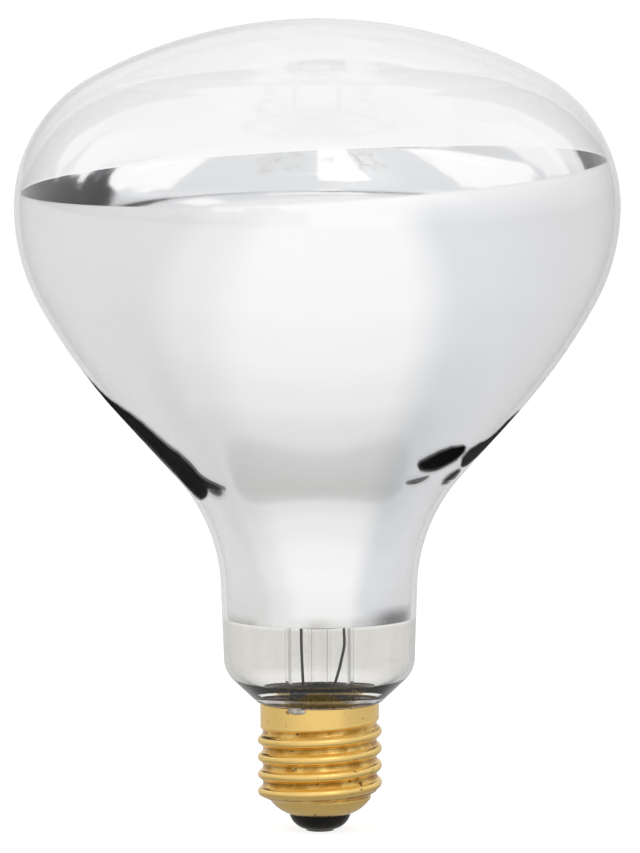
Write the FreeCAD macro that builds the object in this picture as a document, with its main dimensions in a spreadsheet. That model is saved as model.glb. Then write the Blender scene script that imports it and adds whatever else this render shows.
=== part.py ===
"""Infrared heat lamp bulb: a blown reflector lamp with a clear front and an E27 screw cap.

The lamp stands on its centre contact, cap down, with its axis on Z. Z is zero on the
face of the centre contact. Lengths are in millimetres and angles in degrees.
"""
import FreeCAD, Part
import math
import os
import Sketcher
from FreeCAD import Placement, Rotation, Vector

SIZES = {
    # Blown envelope, from the crown of the front down to the seal in the cap
    "BulbDiameter": 127.0,
    "FrontRise": 39.1,
    "ShoulderRadius": 30.7,
    "BowlRadius": 42.7,
    "BowlAngle": 29.0,
    "FlankRadius": 124.0,
    "FlankAngle": 41.8,
    "ThroatRadius": 36.8,
    "NeckDiameter": 41.3,
    "NeckDraft": 2.0,
    "NeckLength": 15.34,
    "HeelRise": 9.4,
    "HeelRadius": 6.5,
    "LipRadius": 0.8,
    "LipOut": 0.36,
    "TuckRadius": 1.1,
    "SealDepth": 8.4,
    "SealBend": 3.0,
    "SealBendDrop": 1.76,
    "GlassWall": 1.1,
    # Mirror on the inside of the envelope, with a rim that is not quite level
    "MirrorGap": 0.05,
    "MirrorSkin": 0.15,
    "MirrorRimRise": 6.7,
    "MirrorRimTilt": 3.0,
    "MirrorRimHeading": 9.5,
    "MirrorFootRise": 8.8,
    # Stem: flare, tube, pressed end, pumping tube and the rod with its button
    "FlareLand": 0.35,
    "FlareWall": 1.2,
    "FlareBend": 2.2,
    "TubeLength": 24.7,
    "PinchLength": 5.0,
    "PressLength": 9.0,
    "PressWidth": 16.0,
    "PressThickness": 4.2,
    "ExhaustDiameter": 4.8,
    "ExhaustWall": 0.8,
    "ExhaustTip": 10.8,
    "RodDiameter": 3.4,
    "RodLength": 12.5,
    "ButtonDiameter": 6.4,
    # Filament ring with its hooks and leads
    "RingRise": 8.0,
    "RingRadius": 13.0,
    "RingOpening": 60.0,
    "CoilDiameter": 1.2,
    "SupportDiameter": 0.5,
    "HookClearance": 0.05,
    "HookSweep": 265.0,
    "LeadSpread": 8.4,
    "InnerLeadDiameter": 1.0,
    "InnerLeadStraight": 7.0,
    "InnerLeadRise": 4.5,
    # Wires from the press to the cap, in the tube and under the end of the seal
    "OuterLeadDiameter": 0.6,
    "LeadClearance": 0.2,
    "ChannelGap": 0.09,
    "LoopInner": 4.6,
    "LoopInnerDrop": 2.6,
    "LoopWidth": 2.4,
    "LoopDrop": 3.6,
    "LoopRise": 1.4,
    "LeadEndDrop": 0.2,
    "TipBendOver": 6.0,
    "TipBendBeside": 0.4,
    "TipBendUnder": 4.7,
    # Screw cap: collar, rolled thread, cup and mouth
    "ShellWall": 0.3,
    "RimHeight": 27.2,
    "RimGap": 0.25,
    "CollarStep": 0.575,
    "CollarLength": 4.45,
    "CollarEdgeTilt": 0.9,
    "ThreadDiameter": 26.15,
    "ThreadPitch": 3.629,
    "ThreadDepth": 1.096,
    "ThreadStart": 10.2,
    "ThreadFootHeight": 7.6,
    "ThreadFootTilt": 0.55,
    "ThreadRunOut": 0.9,
    "CupHeight": 6.9,
    "CupRadius": 8.0,
    "CupStep": 1.075,
    "CupCentreHeight": 11.25,
    "MouthDiameter": 13.0,
    # Insulator, contact, solder and cement
    "SeatGap": 0.03,
    "InsulatorTop": 6.5,
    "InsulatorBulge": 4.2,
    "InsulatorTipDiameter": 6.0,
    "ContactDiameter": 5.8,
    "ContactThickness": 0.35,
    "ContactEdge": 0.12,
    "LeadHoleDiameter": 2.4,
    "SolderHeight": 1.5,
    "CementDepth": 3.0,
    "CementOverRim": 0.15,
    "SideSolderHeading": 247.4,
    "SideSolderAngle": 20.0,
    "SideSolderDrop": 1.1,
    "SideSolderThickness": 0.45,
}

# Heights and radii that follow from the sizes
RIM = "Sizes.RimHeight"
LEDGE = f"{RIM} + Sizes.RimGap"
HEEL = f"{RIM} + Sizes.HeelRise"
NECK_TOP = f"{HEEL} + Sizes.NeckLength"
MIRROR_FOOT = f"{HEEL} + Sizes.MirrorFootRise"
SEAL_END = f"{RIM} - Sizes.SealDepth"
TUBE_TOP = f"{SEAL_END} + Sizes.TubeLength"
PRESS_FOOT = f"{TUBE_TOP} + Sizes.PinchLength"
PRESS_TOP = f"{PRESS_FOOT} + Sizes.PressLength"
BUTTON = f"{PRESS_TOP} + Sizes.RodLength"
RING = f"{BUTTON} + Sizes.RingRise"
CEMENT_FOOT = f"{RIM} - Sizes.CementDepth"
COLLAR_EDGE = f"{RIM} - Sizes.CollarLength"
COLLAR_OUT = "Sizes.ThreadDiameter / 2 - Sizes.CollarStep"
GROOVE_IN = "Sizes.ThreadDiameter / 2 - Sizes.ThreadDepth - Sizes.ShellWall"
SEAL_OUT = f"{GROOVE_IN} - Sizes.OuterLeadDiameter - 2 * Sizes.ChannelGap"
SEAL_IN = f"{SEAL_OUT} - Sizes.GlassWall"
TUBE_OUT = f"{SEAL_IN} - Sizes.FlareLand - Sizes.FlareBend"
CUP_CENTRE_OUT = "Sizes.ThreadDiameter / 2 - Sizes.CupRadius - Sizes.CupStep"

SUPPORTS = 6
STATIONS_PER_PITCH = 10
POINTS_ROUND = 24
CUP_STATIONS = 8

# The two wires in the tube: how far across from the pumping tube to the stem's tube,
# heading, and share of the way down from the pinch to the end of the seal
SIDE_WIRE = ((0.34, 180.0, 0.0), (0.34, 180.0, 0.162), (0.23, 186.5, 0.486), (0.20, 195.3, 0.838))
CENTRE_WIRE = ((0.87, 0.0, 0.0), (0.87, 0.0, 0.065), (0.92, -7.5, 0.162), (0.60, -29.4, 0.405),
               (0.34, -54.6, 0.688))
CENTRE_BESIDE_TIP = ((0.26, -67.0), (0.17, -72.6))

doc = FreeCAD.newDocument("HeatLamp")
sheet = doc.addObject("Spreadsheet::Sheet", "Sizes")
for row, (alias, number) in enumerate(SIZES.items(), start=1):
    sheet.set(f"A{row}", alias)
    sheet.set(f"B{row}", str(number))
    sheet.setAlias(f"B{row}", alias)
doc.recompute()

PIECES = {}


def size(expression):
    """The number that an expression of the sheet gives, in millimetres or degrees."""
    result = sheet.evalExpression(expression)
    return float(getattr(result, "Value", result))


size_of = {name: size(f"Sizes.{name}") for name in SIZES}


def polar(centre, radius, angle):
    """The point at an angle in degrees and a radius from a centre in the sketch."""
    turn = math.radians(angle)
    return (centre[0] + radius * math.cos(turn), centre[1] + radius * math.sin(turn))


def from_axis(radius, heading, height):
    """A point at a radius from the lamp's axis, at a heading in degrees from +X."""
    turn = math.radians(heading)
    return Vector(radius * math.cos(turn), radius * math.sin(turn), height)


class Profile:
    """A sketch on one of its body's planes, drawn edge by edge around a closed outline."""

    def __init__(self, body, name, role="XZ_Plane", height=None):
        self.body = body
        self.sketch = body.newObject("Sketcher::SketchObject", name)
        plane = next(f for f in body.Origin.OriginFeatures if f.Role == role)
        self.sketch.AttachmentSupport = [(plane, "")]
        self.sketch.MapMode = "FlatFace"
        if height:
            self.sketch.setExpression("AttachmentOffset.Base.z", height)
        self.edges = []

    def line(self, start, end, smooth=False):
        """A straight edge. Smooth joins it tangent to the edge before it."""
        edge = self.sketch.addGeometry(Part.LineSegment(Vector(*start), Vector(*end)), False)
        self.edges.append((edge, 1, 2, smooth))
        return edge

    def arc(self, centre, radius, start, end, smooth=True):
        """An arc from one angle to another, either way round."""
        low, high = sorted((math.radians(start), math.radians(end)))
        circle = Part.Circle(Vector(*centre), Vector(0, 0, 1), radius)
        edge = self.sketch.addGeometry(Part.ArcOfCircle(circle, low, high), False)
        first, last = (1, 2) if start < end else (2, 1)
        self.edges.append((edge, first, last, smooth))
        return edge

    def close(self):
        """Join each edge to the next one, and the last to the first."""
        for here, following in zip(self.edges, self.edges[1:] + self.edges[:1]):
            joint = "Tangent" if following[3] else "Coincident"
            self.rule(joint, here[0], here[2], following[0], following[1])

    def rule(self, kind, *where):
        """A constraint without a size."""
        self.sketch.addConstraint(Sketcher.Constraint(kind, *where))

    def bind(self, kind, expression, *where):
        """A constraint whose size is an expression of the sheet."""
        number = size(expression)
        if kind == "Angle":
            number = math.radians(number)
        index = self.sketch.addConstraint(Sketcher.Constraint(kind, *where, number))
        self.sketch.setExpression(f"Constraints[{index}]", expression)

    def pin(self, edge, end, out, up):
        """Place the end of an edge by its distance from the axis and its height."""
        self.bind("DistanceX", out, -1, 1, edge, end)
        self.bind("DistanceY", up, -1, 1, edge, end)

    def polygon(self, corners):
        """A closed outline of straight edges through corners given as expressions."""
        points = [(size(out), size(up)) for out, up in corners]
        for start, end in zip(points, points[1:] + points[:1]):
            self.line(start, end)
        self.close()
        for edge, (out, up) in zip(self.edges, corners):
            self.pin(edge[0], edge[1], out, up)

    def turn(self, kind="PartDesign::Revolution", angle=360, midplane=False):
        """Revolve the outline about the lamp's axis, to add it or to cut it out."""
        feature = self.body.newObject(kind, self.sketch.Name + "_turned")
        feature.Profile = self.sketch
        feature.ReferenceAxis = (self.sketch, ["V_Axis"])
        feature.Angle = angle
        feature.Midplane = midplane
        return feature


def piece(label):
    """A body of its own that becomes one node."""
    body = doc.addObject("PartDesign::Body", label)
    body.Label = label
    PIECES[label] = body
    return body


def shape_piece(label, shape):
    """A piece whose shape comes from Part's own functions."""
    feature = doc.addObject("Part::Feature", label)
    feature.Label = label
    feature.Shape = shape
    PIECES[label] = feature
    return feature


def blown_points(inset):
    """The centres and joints of the blown outline above the neck, at an inset."""
    draft = size("Sizes.NeckDraft")
    bowl_angle = size("Sizes.BowlAngle")
    flank_angle = size("Sizes.FlankAngle")
    lean = math.radians(flank_angle)
    taper = math.radians(draft)
    out = size("Sizes.BulbDiameter / 2")
    neck_out = size(f"Sizes.NeckDiameter / 2 - ({inset}) * cos(Sizes.NeckDraft * 1 deg)")
    neck_top = size(f"{NECK_TOP} + ({inset}) * sin(Sizes.NeckDraft * 1 deg)")
    throat_radius = size(f"Sizes.ThroatRadius + {inset}")
    neck_start = (neck_out, neck_top)
    throat = polar(neck_start, -throat_radius, 180 - draft)
    throat_start = polar(throat, throat_radius, 180 - flank_angle)
    bowl_out = out - size("Sizes.BowlRadius")
    bowl_to_flank = size("Sizes.FlankRadius - Sizes.BowlRadius")
    flank_out = bowl_out - bowl_to_flank * math.cos(math.radians(bowl_angle))
    flank_end_out = flank_out + size(f"Sizes.FlankRadius - ({inset})") * math.cos(lean)
    run = (flank_end_out - throat_start[0]) / math.sin(lean)
    flank_end = (flank_end_out, throat_start[1] + run * math.cos(lean))
    flank = polar(flank_end, -size(f"Sizes.FlankRadius - ({inset})"), -flank_angle)
    bowl = polar(flank, bowl_to_flank, -bowl_angle)
    return bowl, flank, flank_end, throat_start, throat, neck_start


def envelope_profile(body, name, inset, foot):
    """The blown outline from crown to foot, drawn at an inset from the outer surface.

    The foot is outside or inside at the seal, or neck where only the mirror is wanted.
    """
    inset_value = size(inset)
    draft = size("Sizes.NeckDraft")
    bowl_angle = size("Sizes.BowlAngle")
    flank_angle = size("Sizes.FlankAngle")
    bowl, flank, flank_end, throat_start, throat, neck_start = blown_points(inset)
    widest = bowl[1]
    out = size("Sizes.BulbDiameter / 2")
    shoulder_radius = size("Sizes.ShoulderRadius")
    bowl_radius = size("Sizes.BowlRadius")
    flank_radius = size("Sizes.FlankRadius")
    reach = out - shoulder_radius
    rise = size("Sizes.FrontRise")
    crown = widest + rise
    dome_radius = (reach ** 2 + rise ** 2 - shoulder_radius ** 2) / (2 * (rise - shoulder_radius))
    dome = (0, crown - dome_radius)
    shoulder = (reach, widest)
    dome_end = math.degrees(math.atan2(widest - dome[1], reach))
    throat_radius = size(f"Sizes.ThroatRadius + {inset}")

    profile = Profile(body, name)
    dome_edge = profile.arc(dome, dome_radius - inset_value, 90, dome_end, smooth=False)
    shoulder_edge = profile.arc(shoulder, shoulder_radius - inset_value, dome_end, 0)
    bowl_edge = profile.arc(bowl, bowl_radius - inset_value, 0, -bowl_angle)
    flank_edge = profile.arc(flank, flank_radius - inset_value, -bowl_angle, -flank_angle)
    profile.line(flank_end, throat_start, smooth=True)
    throat_edge = profile.arc(throat, throat_radius, 180 - flank_angle, 180 - draft)
    neck_foot = MIRROR_FOOT
    if foot != "neck":
        neck_foot = f"{HEEL} + ({inset}) * sin(Sizes.NeckDraft * 1 deg)"
    fall = neck_start[1] - size(neck_foot)
    neck_end = (neck_start[0] - fall * math.tan(math.radians(draft)), size(neck_foot))
    neck_edge = profile.line(neck_start, neck_end, smooth=True)
    if foot == "neck":
        profile.bind("DistanceY", neck_foot, -1, 1, neck_edge, 2)
        bottom = neck_end
    else:
        bottom = seal_profile(profile, neck_end, inset, foot)
    foot_edge = profile.line(bottom, (0, bottom[1]))
    axis_edge = profile.line((0, bottom[1]), (0, crown - inset_value))
    profile.close()

    profile.rule("PointOnObject", dome_edge, 3, -2)
    profile.bind("DistanceY", f"Sizes.FrontRise - ({inset})", shoulder_edge, 3, dome_edge, 2)
    profile.bind("Radius", f"Sizes.ShoulderRadius - ({inset})", shoulder_edge)
    profile.bind("DistanceX", f"Sizes.BulbDiameter / 2 - ({inset})", -1, 1, shoulder_edge, 1)
    profile.rule("Horizontal", shoulder_edge, 3, shoulder_edge, 1)
    profile.bind("Radius", f"Sizes.BowlRadius - ({inset})", bowl_edge)
    profile.bind("Angle", "Sizes.BowlAngle * 1 deg", bowl_edge)
    profile.bind("Radius", f"Sizes.FlankRadius - ({inset})", flank_edge)
    profile.bind("Angle", "(Sizes.FlankAngle - Sizes.BowlAngle) * 1 deg", flank_edge)
    profile.bind("Radius", f"Sizes.ThroatRadius + {inset}", throat_edge)
    profile.bind("Angle", "(Sizes.FlankAngle - Sizes.NeckDraft) * 1 deg", throat_edge)
    neck_rule = f"Sizes.NeckDiameter / 2 - ({inset}) * cos(Sizes.NeckDraft * 1 deg)"
    profile.bind("DistanceX", neck_rule, -1, 1, neck_edge, 1)
    neck_top = f"{NECK_TOP} + ({inset}) * sin(Sizes.NeckDraft * 1 deg)"
    profile.bind("DistanceY", neck_top, -1, 1, neck_edge, 1)
    profile.rule("Horizontal", foot_edge)
    profile.rule("Vertical", axis_edge)
    profile.rule("PointOnObject", axis_edge, 1, -2)
    return profile


def common_tangent(upper, lower, less):
    """How far below level the line that touches two circles faces, in degrees.

    Less is what the upper radius has over the lower one, which counts as negative where
    the line passes between the circles.
    """
    across = upper[0] - lower[0]
    down = upper[1] - lower[1]
    return math.degrees(math.asin(less / math.hypot(across, down)) + math.atan2(across, down))


def seal_profile(profile, neck_end, inset, foot):
    """Carry the outline on from the neck, round the heel and down to the seal."""
    draft = size("Sizes.NeckDraft")
    heel_radius = size(f"Sizes.HeelRadius - ({inset})")
    heel = polar(neck_end, -heel_radius, -draft)
    seal_end = size(SEAL_END)
    seal_out = size(f"{SEAL_OUT} - ({inset})")
    ledge = size(LEDGE)
    if foot == "outside":
        lip_radius = size("Sizes.LipRadius")
        tuck_radius = size("Sizes.TuckRadius")
        lip = (size(f"{COLLAR_OUT} + Sizes.LipOut"), ledge + lip_radius)
        tuck = (seal_out + tuck_radius, ledge - tuck_radius)
        tilt = common_tangent(heel, lip, heel_radius - lip_radius)
        heel_edge = profile.arc(heel, heel_radius, -draft, -tilt)
        heel_end = polar(heel, heel_radius, -tilt)
        profile.line(heel_end, polar(lip, lip_radius, -tilt), smooth=True)
        lip_edge = profile.arc(lip, lip_radius, -tilt, -90)
        ledge_edge = profile.line((lip[0], ledge), (tuck[0], ledge), smooth=True)
        last_edge = profile.arc(tuck, tuck_radius, 90, 180)
        seal_start = (seal_out, tuck[1])
        profile.bind("Radius", "Sizes.LipRadius", lip_edge)
        profile.rule("Horizontal", ledge_edge)
        profile.bind("DistanceY", LEDGE, -1, 1, ledge_edge, 1)
        profile.bind("DistanceX", f"{COLLAR_OUT} + Sizes.LipOut", -1, 1, lip_edge, 3)
        profile.bind("Radius", "Sizes.TuckRadius", last_edge)
    else:
        bend_radius = size("Sizes.SealBend")
        bend = (seal_out + bend_radius, ledge - size("Sizes.SealBendDrop"))
        tilt = common_tangent(heel, bend, heel_radius + bend_radius)
        heel_edge = profile.arc(heel, heel_radius, -draft, -tilt)
        heel_end = polar(heel, heel_radius, -tilt)
        profile.line(heel_end, polar(bend, bend_radius, 180 - tilt), smooth=True)
        last_edge = profile.arc(bend, bend_radius, 180 - tilt, 180)
        seal_start = (seal_out, bend[1])
        profile.bind("Radius", "Sizes.SealBend", last_edge)
        profile.bind("DistanceY", f"{LEDGE} - Sizes.SealBendDrop", -1, 1, last_edge, 3)
    seal_edge = profile.line(seal_start, (seal_out, seal_end), smooth=True)
    rise = f"{HEEL} + ({inset}) * sin(Sizes.NeckDraft * 1 deg)"
    profile.bind("DistanceY", rise, -1, 1, heel_edge, 2)
    profile.bind("Radius", f"Sizes.HeelRadius - ({inset})", heel_edge)
    profile.rule("Vertical", seal_edge)
    profile.bind("DistanceX", f"{SEAL_OUT} - ({inset})", -1, 1, seal_edge, 1)
    profile.bind("DistanceY", SEAL_END, -1, 1, seal_edge, 2)
    return (seal_out, seal_end)


def make_envelope():
    """The blown glass: front, bowl, neck and the tucked seal, in one wall."""
    body = piece("glass_envelope")
    envelope_profile(body, "blown_outside", "0", "outside").turn()
    envelope_profile(body, "blown_inside", "Sizes.GlassWall", "inside").turn("PartDesign::Groove")


def make_mirror():
    """The metal film inside the bowl, cut off at a tilted rim below the clear front."""
    film = doc.addObject("PartDesign::Body", "mirror_film")
    back = "Sizes.GlassWall + Sizes.MirrorGap"
    envelope_profile(film, "film_back", back, "neck").turn()
    face = back + " + Sizes.MirrorSkin"
    envelope_profile(film, "film_face", face, "neck").turn("PartDesign::Groove")
    below_rim = doc.addObject("Part::Cylinder", "below_rim")
    below_rim.setExpression("Radius", "Sizes.BulbDiameter")
    below_rim.setExpression("Height", "2 * Sizes.BulbDiameter")
    heading = math.radians(size("Sizes.MirrorRimHeading"))
    hinge = Vector(math.sin(heading), -math.cos(heading), 0)
    flip = Rotation(hinge, 180 + size("Sizes.MirrorRimTilt"))
    widest = blown_points("0")[0][1]
    below_rim.Placement = Placement(Vector(0, 0, widest + size("Sizes.MirrorRimRise")), flip)
    mirror = doc.addObject("Part::Common", "reflector_coating")
    mirror.Label = "reflector_coating"
    mirror.Base = film
    mirror.Tool = below_rim
    PIECES["reflector_coating"] = mirror


def make_stem():
    """The flared tube that is fused into the neck, pinched shut at its top."""
    body = piece("stem_flare")
    profile = Profile(body, "flare")
    tube = size(TUBE_OUT)
    wall = size("Sizes.FlareWall")
    bend = size("Sizes.FlareBend")
    rim = size(SEAL_IN)
    end = size(SEAL_END)
    top = size(TUBE_TOP)
    centre = (tube + bend, end + wall + bend)
    outer = profile.line((tube, top), (tube, centre[1]))
    outer_bend = profile.arc(centre, bend, 180, 270)
    upper = profile.line((centre[0], end + wall), (rim, end + wall), smooth=True)
    edge = profile.line((rim, end + wall), (rim, end))
    lower = profile.line((rim, end), (centre[0], end))
    profile.arc(centre, bend + wall, 270, 180)
    inner = profile.line((tube - wall, centre[1]), (tube - wall, top), smooth=True)
    lid = profile.line((tube - wall, top), (tube, top))
    profile.close()
    profile.pin(outer, 1, TUBE_OUT, TUBE_TOP)
    profile.rule("Vertical", outer)
    profile.rule("Vertical", inner)
    profile.rule("Vertical", edge)
    profile.rule("Horizontal", lid)
    profile.rule("Horizontal", upper)
    profile.rule("Horizontal", lower)
    profile.bind("Radius", "Sizes.FlareBend", outer_bend)
    profile.bind("DistanceX", f"{TUBE_OUT} - Sizes.FlareWall", -1, 1, inner, 1)
    profile.pin(edge, 2, SEAL_IN, SEAL_END)
    profile.bind("Distance", "Sizes.FlareWall", edge)
    profile.turn()

    round_end = Profile(body, "tube_top", "XY_Plane", TUBE_TOP)
    circle = Part.Circle(Vector(0, 0, 0), Vector(0, 0, 1), tube)
    ring = round_end.sketch.addGeometry(circle, False)
    round_end.rule("Coincident", ring, 3, -1, 1)
    round_end.bind("Radius", TUBE_OUT, ring)
    flat_foot = press_slot(body, "press_foot", PRESS_FOOT)
    pinch = body.newObject("PartDesign::AdditiveLoft", "pinch")
    pinch.Profile = round_end.sketch
    pinch.Sections = [flat_foot.sketch]
    press = body.newObject("PartDesign::Pad", "press")
    press.Profile = press_slot(body, "press_end", PRESS_FOOT).sketch
    press.setExpression("Length", "Sizes.PressLength")


def press_slot(body, name, height):
    """The round-ended section of the pinched glass."""
    profile = Profile(body, name, "XY_Plane", height)
    half = size("Sizes.PressThickness / 2")
    reach = size("(Sizes.PressWidth - Sizes.PressThickness) / 2")
    profile.line((-reach, half), (reach, half))
    right = profile.arc((reach, 0), half, 90, -90)
    profile.line((reach, -half), (-reach, -half), smooth=True)
    left = profile.arc((-reach, 0), half, 270, 90)
    profile.edges[0] = profile.edges[0][:3] + (True,)
    profile.close()
    profile.bind("Radius", "Sizes.PressThickness / 2", right)
    profile.rule("PointOnObject", right, 3, -1)
    profile.rule("PointOnObject", left, 3, -1)
    run = "(Sizes.PressWidth - Sizes.PressThickness) / 2"
    profile.bind("DistanceX", run, -1, 1, right, 3)
    profile.bind("DistanceX", run, left, 3, -1, 1)
    return profile


def make_exhaust_tube():
    """The pumping tube, sealed to a round tip inside the cap."""
    body = piece("exhaust_tube")
    profile = Profile(body, "pumping_tube")
    out = size("Sizes.ExhaustDiameter / 2")
    wall = size("Sizes.ExhaustWall")
    tip = size("Sizes.ExhaustTip")
    top = size(TUBE_TOP)
    centre = (0, tip + out)
    profile.line((out, top), (out, centre[1]))
    tip_edge = profile.arc(centre, out, 0, -90)
    closing = profile.line((0, tip), (0, tip + wall))
    profile.arc(centre, out - wall, -90, 0, smooth=False)
    inner = profile.line((out - wall, centre[1]), (out - wall, top), smooth=True)
    lid = profile.line((out - wall, top), (out, top))
    profile.close()
    profile.rule("PointOnObject", tip_edge, 3, -2)
    profile.rule("Vertical", closing)
    profile.rule("PointOnObject", closing, 1, -2)
    profile.bind("Distance", "Sizes.ExhaustWall", closing)
    profile.rule("Coincident", profile.edges[3][0], 3, tip_edge, 3)
    profile.bind("DistanceY", "Sizes.ExhaustTip", -1, 1, closing, 1)
    profile.rule("Vertical", inner)
    profile.rule("Horizontal", lid)
    profile.pin(lid, 2, "Sizes.ExhaustDiameter / 2", TUBE_TOP)
    profile.turn()


def make_support_rod():
    """The glass rod on the press, with the button that holds the support wires."""
    body = piece("support_rod")
    profile = Profile(body, "rod")
    rod = size("Sizes.RodDiameter / 2")
    button = size("Sizes.ButtonDiameter / 2")
    height = size(BUTTON)
    foot = size(PRESS_TOP)
    start = -math.degrees(math.acos(rod / button))
    meeting = polar((0, height), button, start)
    base = profile.line((0, foot), (rod, foot))
    side = profile.line((rod, foot), meeting)
    ball = profile.arc((0, height), button, start, 90, smooth=False)
    axis = profile.line((0, height + button), (0, foot))
    profile.close()
    profile.pin(base, 1, "0", PRESS_TOP)
    profile.bind("DistanceX", "Sizes.RodDiameter / 2", -1, 1, base, 2)
    profile.rule("Horizontal", base)
    profile.rule("Vertical", side)
    profile.rule("Vertical", axis)
    profile.bind("Radius", "Sizes.ButtonDiameter / 2", ball)
    profile.rule("PointOnObject", ball, 3, -2)
    profile.bind("DistanceY", BUTTON, -1, 1, ball, 3)
    profile.turn()


def swept_wire(path, diameter):
    """A round wire swept along a path of straight runs and tangent arcs."""
    spine = Part.Wire(path)
    start = spine.OrderedVertexes[0].Point
    first = spine.OrderedEdges[0]
    along = first.tangentAt(first.FirstParameter)
    ring = Part.Wire(Part.Circle(start, along, diameter / 2).toShape())
    wire = spine.makePipeShell([ring], True, False)
    expected = math.pi * diameter ** 2 / 4 * spine.Length
    if abs(wire.Volume - expected) > 0.02 * expected:
        raise ValueError(f"wire of {wire.Volume:.3f} mm3 should hold {expected:.3f} mm3")
    return wire


def bent_path(points, share=0.45):
    """Straight runs through the points, with a tangent arc at each bend."""
    edges = []
    here = points[0]
    for before, corner, after in zip(points, points[1:], points[2:]):
        back = (before - corner).normalize()
        ahead = (after - corner).normalize()
        trim = share * min((before - corner).Length, (after - corner).Length)
        middle = (back + ahead).normalize()
        half = back.getAngle(ahead) / 2
        radius = trim * math.tan(half)
        top = corner + middle * (trim / math.cos(half) - radius)
        start = corner + back * trim
        end = corner + ahead * trim
        edges.append(Part.LineSegment(here, start).toShape())
        edges.append(Part.Arc(start, top, end).toShape())
        here = end
    edges.append(Part.LineSegment(here, points[-1]).toShape())
    return edges


def between_tubes(across, heading, height):
    """A point between the pumping tube and the stem's tube, by its share of the way across."""
    room = size("Sizes.OuterLeadDiameter / 2 + Sizes.LeadClearance")
    near = size("Sizes.ExhaustDiameter / 2") + room
    far = size(f"{TUBE_OUT} - Sizes.FlareWall") - room
    return from_axis(near + (far - near) * across, heading, height)


def make_inner_leads():
    """The two nickel leads from the press to the ends of the filament."""
    spread = size("Sizes.LeadSpread / 2")
    press_top = size(PRESS_TOP)
    bend = size(f"{PRESS_TOP} + Sizes.InnerLeadStraight")
    under_coil = size(f"{RING} - Sizes.CoilDiameter / 2")
    ring = size("Sizes.RingRadius")
    half_gap = size("Sizes.RingOpening / 2")
    thick = size("Sizes.InnerLeadDiameter")
    for label, side in (("inner_lead_left", -1), ("inner_lead_right", 1)):
        end = from_axis(ring, 270 + side * half_gap, under_coil)
        points = [
            Vector(side * spread, 0, press_top),
            Vector(side * spread, 0, bend),
            end - Vector(0, 0, size("Sizes.InnerLeadRise")),
            end,
        ]
        shape_piece(label, swept_wire(bent_path(points), thick))


def make_outer_leads():
    """The wires in the tube: one to the rim of the shell and one to the centre contact."""
    thin = size("Sizes.OuterLeadDiameter")
    top = size(TUBE_TOP)
    seal = size(SEAL_END)
    run = top - seal
    channel = size(f"{SEAL_OUT} + Sizes.ChannelGap + Sizes.OuterLeadDiameter / 2")
    collar = size(f"{COLLAR_OUT} - Sizes.ShellWall - Sizes.OuterLeadDiameter / 2")
    heading = size("Sizes.SideSolderHeading")
    inner_heading = heading - size("Sizes.SideSolderAngle / 5")
    side_route = [between_tubes(across, turn, top - down * run) for across, turn, down in SIDE_WIRE]
    side_route += [
        from_axis(size("Sizes.LoopInner"), inner_heading, seal - size("Sizes.LoopInnerDrop")),
        from_axis(channel - size("Sizes.LoopWidth"), heading, seal - size("Sizes.LoopDrop")),
        from_axis(channel, heading, seal - size("Sizes.LoopRise")),
        from_axis(channel, heading, size(CEMENT_FOOT)),
        from_axis(collar, heading, size(f"{RIM} - Sizes.LeadEndDrop")),
    ]
    shape_piece("side_lead", swept_wire(bent_path(side_route), thin))
    tip = size("Sizes.ExhaustTip")
    solder = size("Sizes.SolderHeight")
    over, beside = CENTRE_BESIDE_TIP
    centre_route = [between_tubes(across, turn, top - down * run)
                    for across, turn, down in CENTRE_WIRE]
    centre_route += [
        between_tubes(over[0], over[1], tip + size("Sizes.TipBendOver")),
        between_tubes(beside[0], beside[1], tip + size("Sizes.TipBendBeside")),
        Vector(0, 0, solder + size("Sizes.TipBendUnder")),
        Vector(0, 0, solder),
    ]
    shape_piece("centre_lead", swept_wire(bent_path(centre_route), thin))


def make_filament():
    """The coiled wire as one round bar, bent into an open ring above the button."""
    body = piece("filament")
    profile = Profile(body, "coil_section")
    centre = Vector(size("Sizes.RingRadius"), size(RING), 0)
    circle = Part.Circle(centre, Vector(0, 0, 1), size("Sizes.CoilDiameter / 2"))
    ring = profile.sketch.addGeometry(circle, False)
    profile.bind("Radius", "Sizes.CoilDiameter / 2", ring)
    profile.pin(ring, 3, "Sizes.RingRadius", RING)
    turned = profile.turn(angle=size("360 - Sizes.RingOpening"), midplane=True)
    turned.setExpression("Angle", "360 - Sizes.RingOpening")
    body.Placement = Placement(Vector(0, 0, 0), Rotation(Vector(0, 0, 1), 90))


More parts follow.
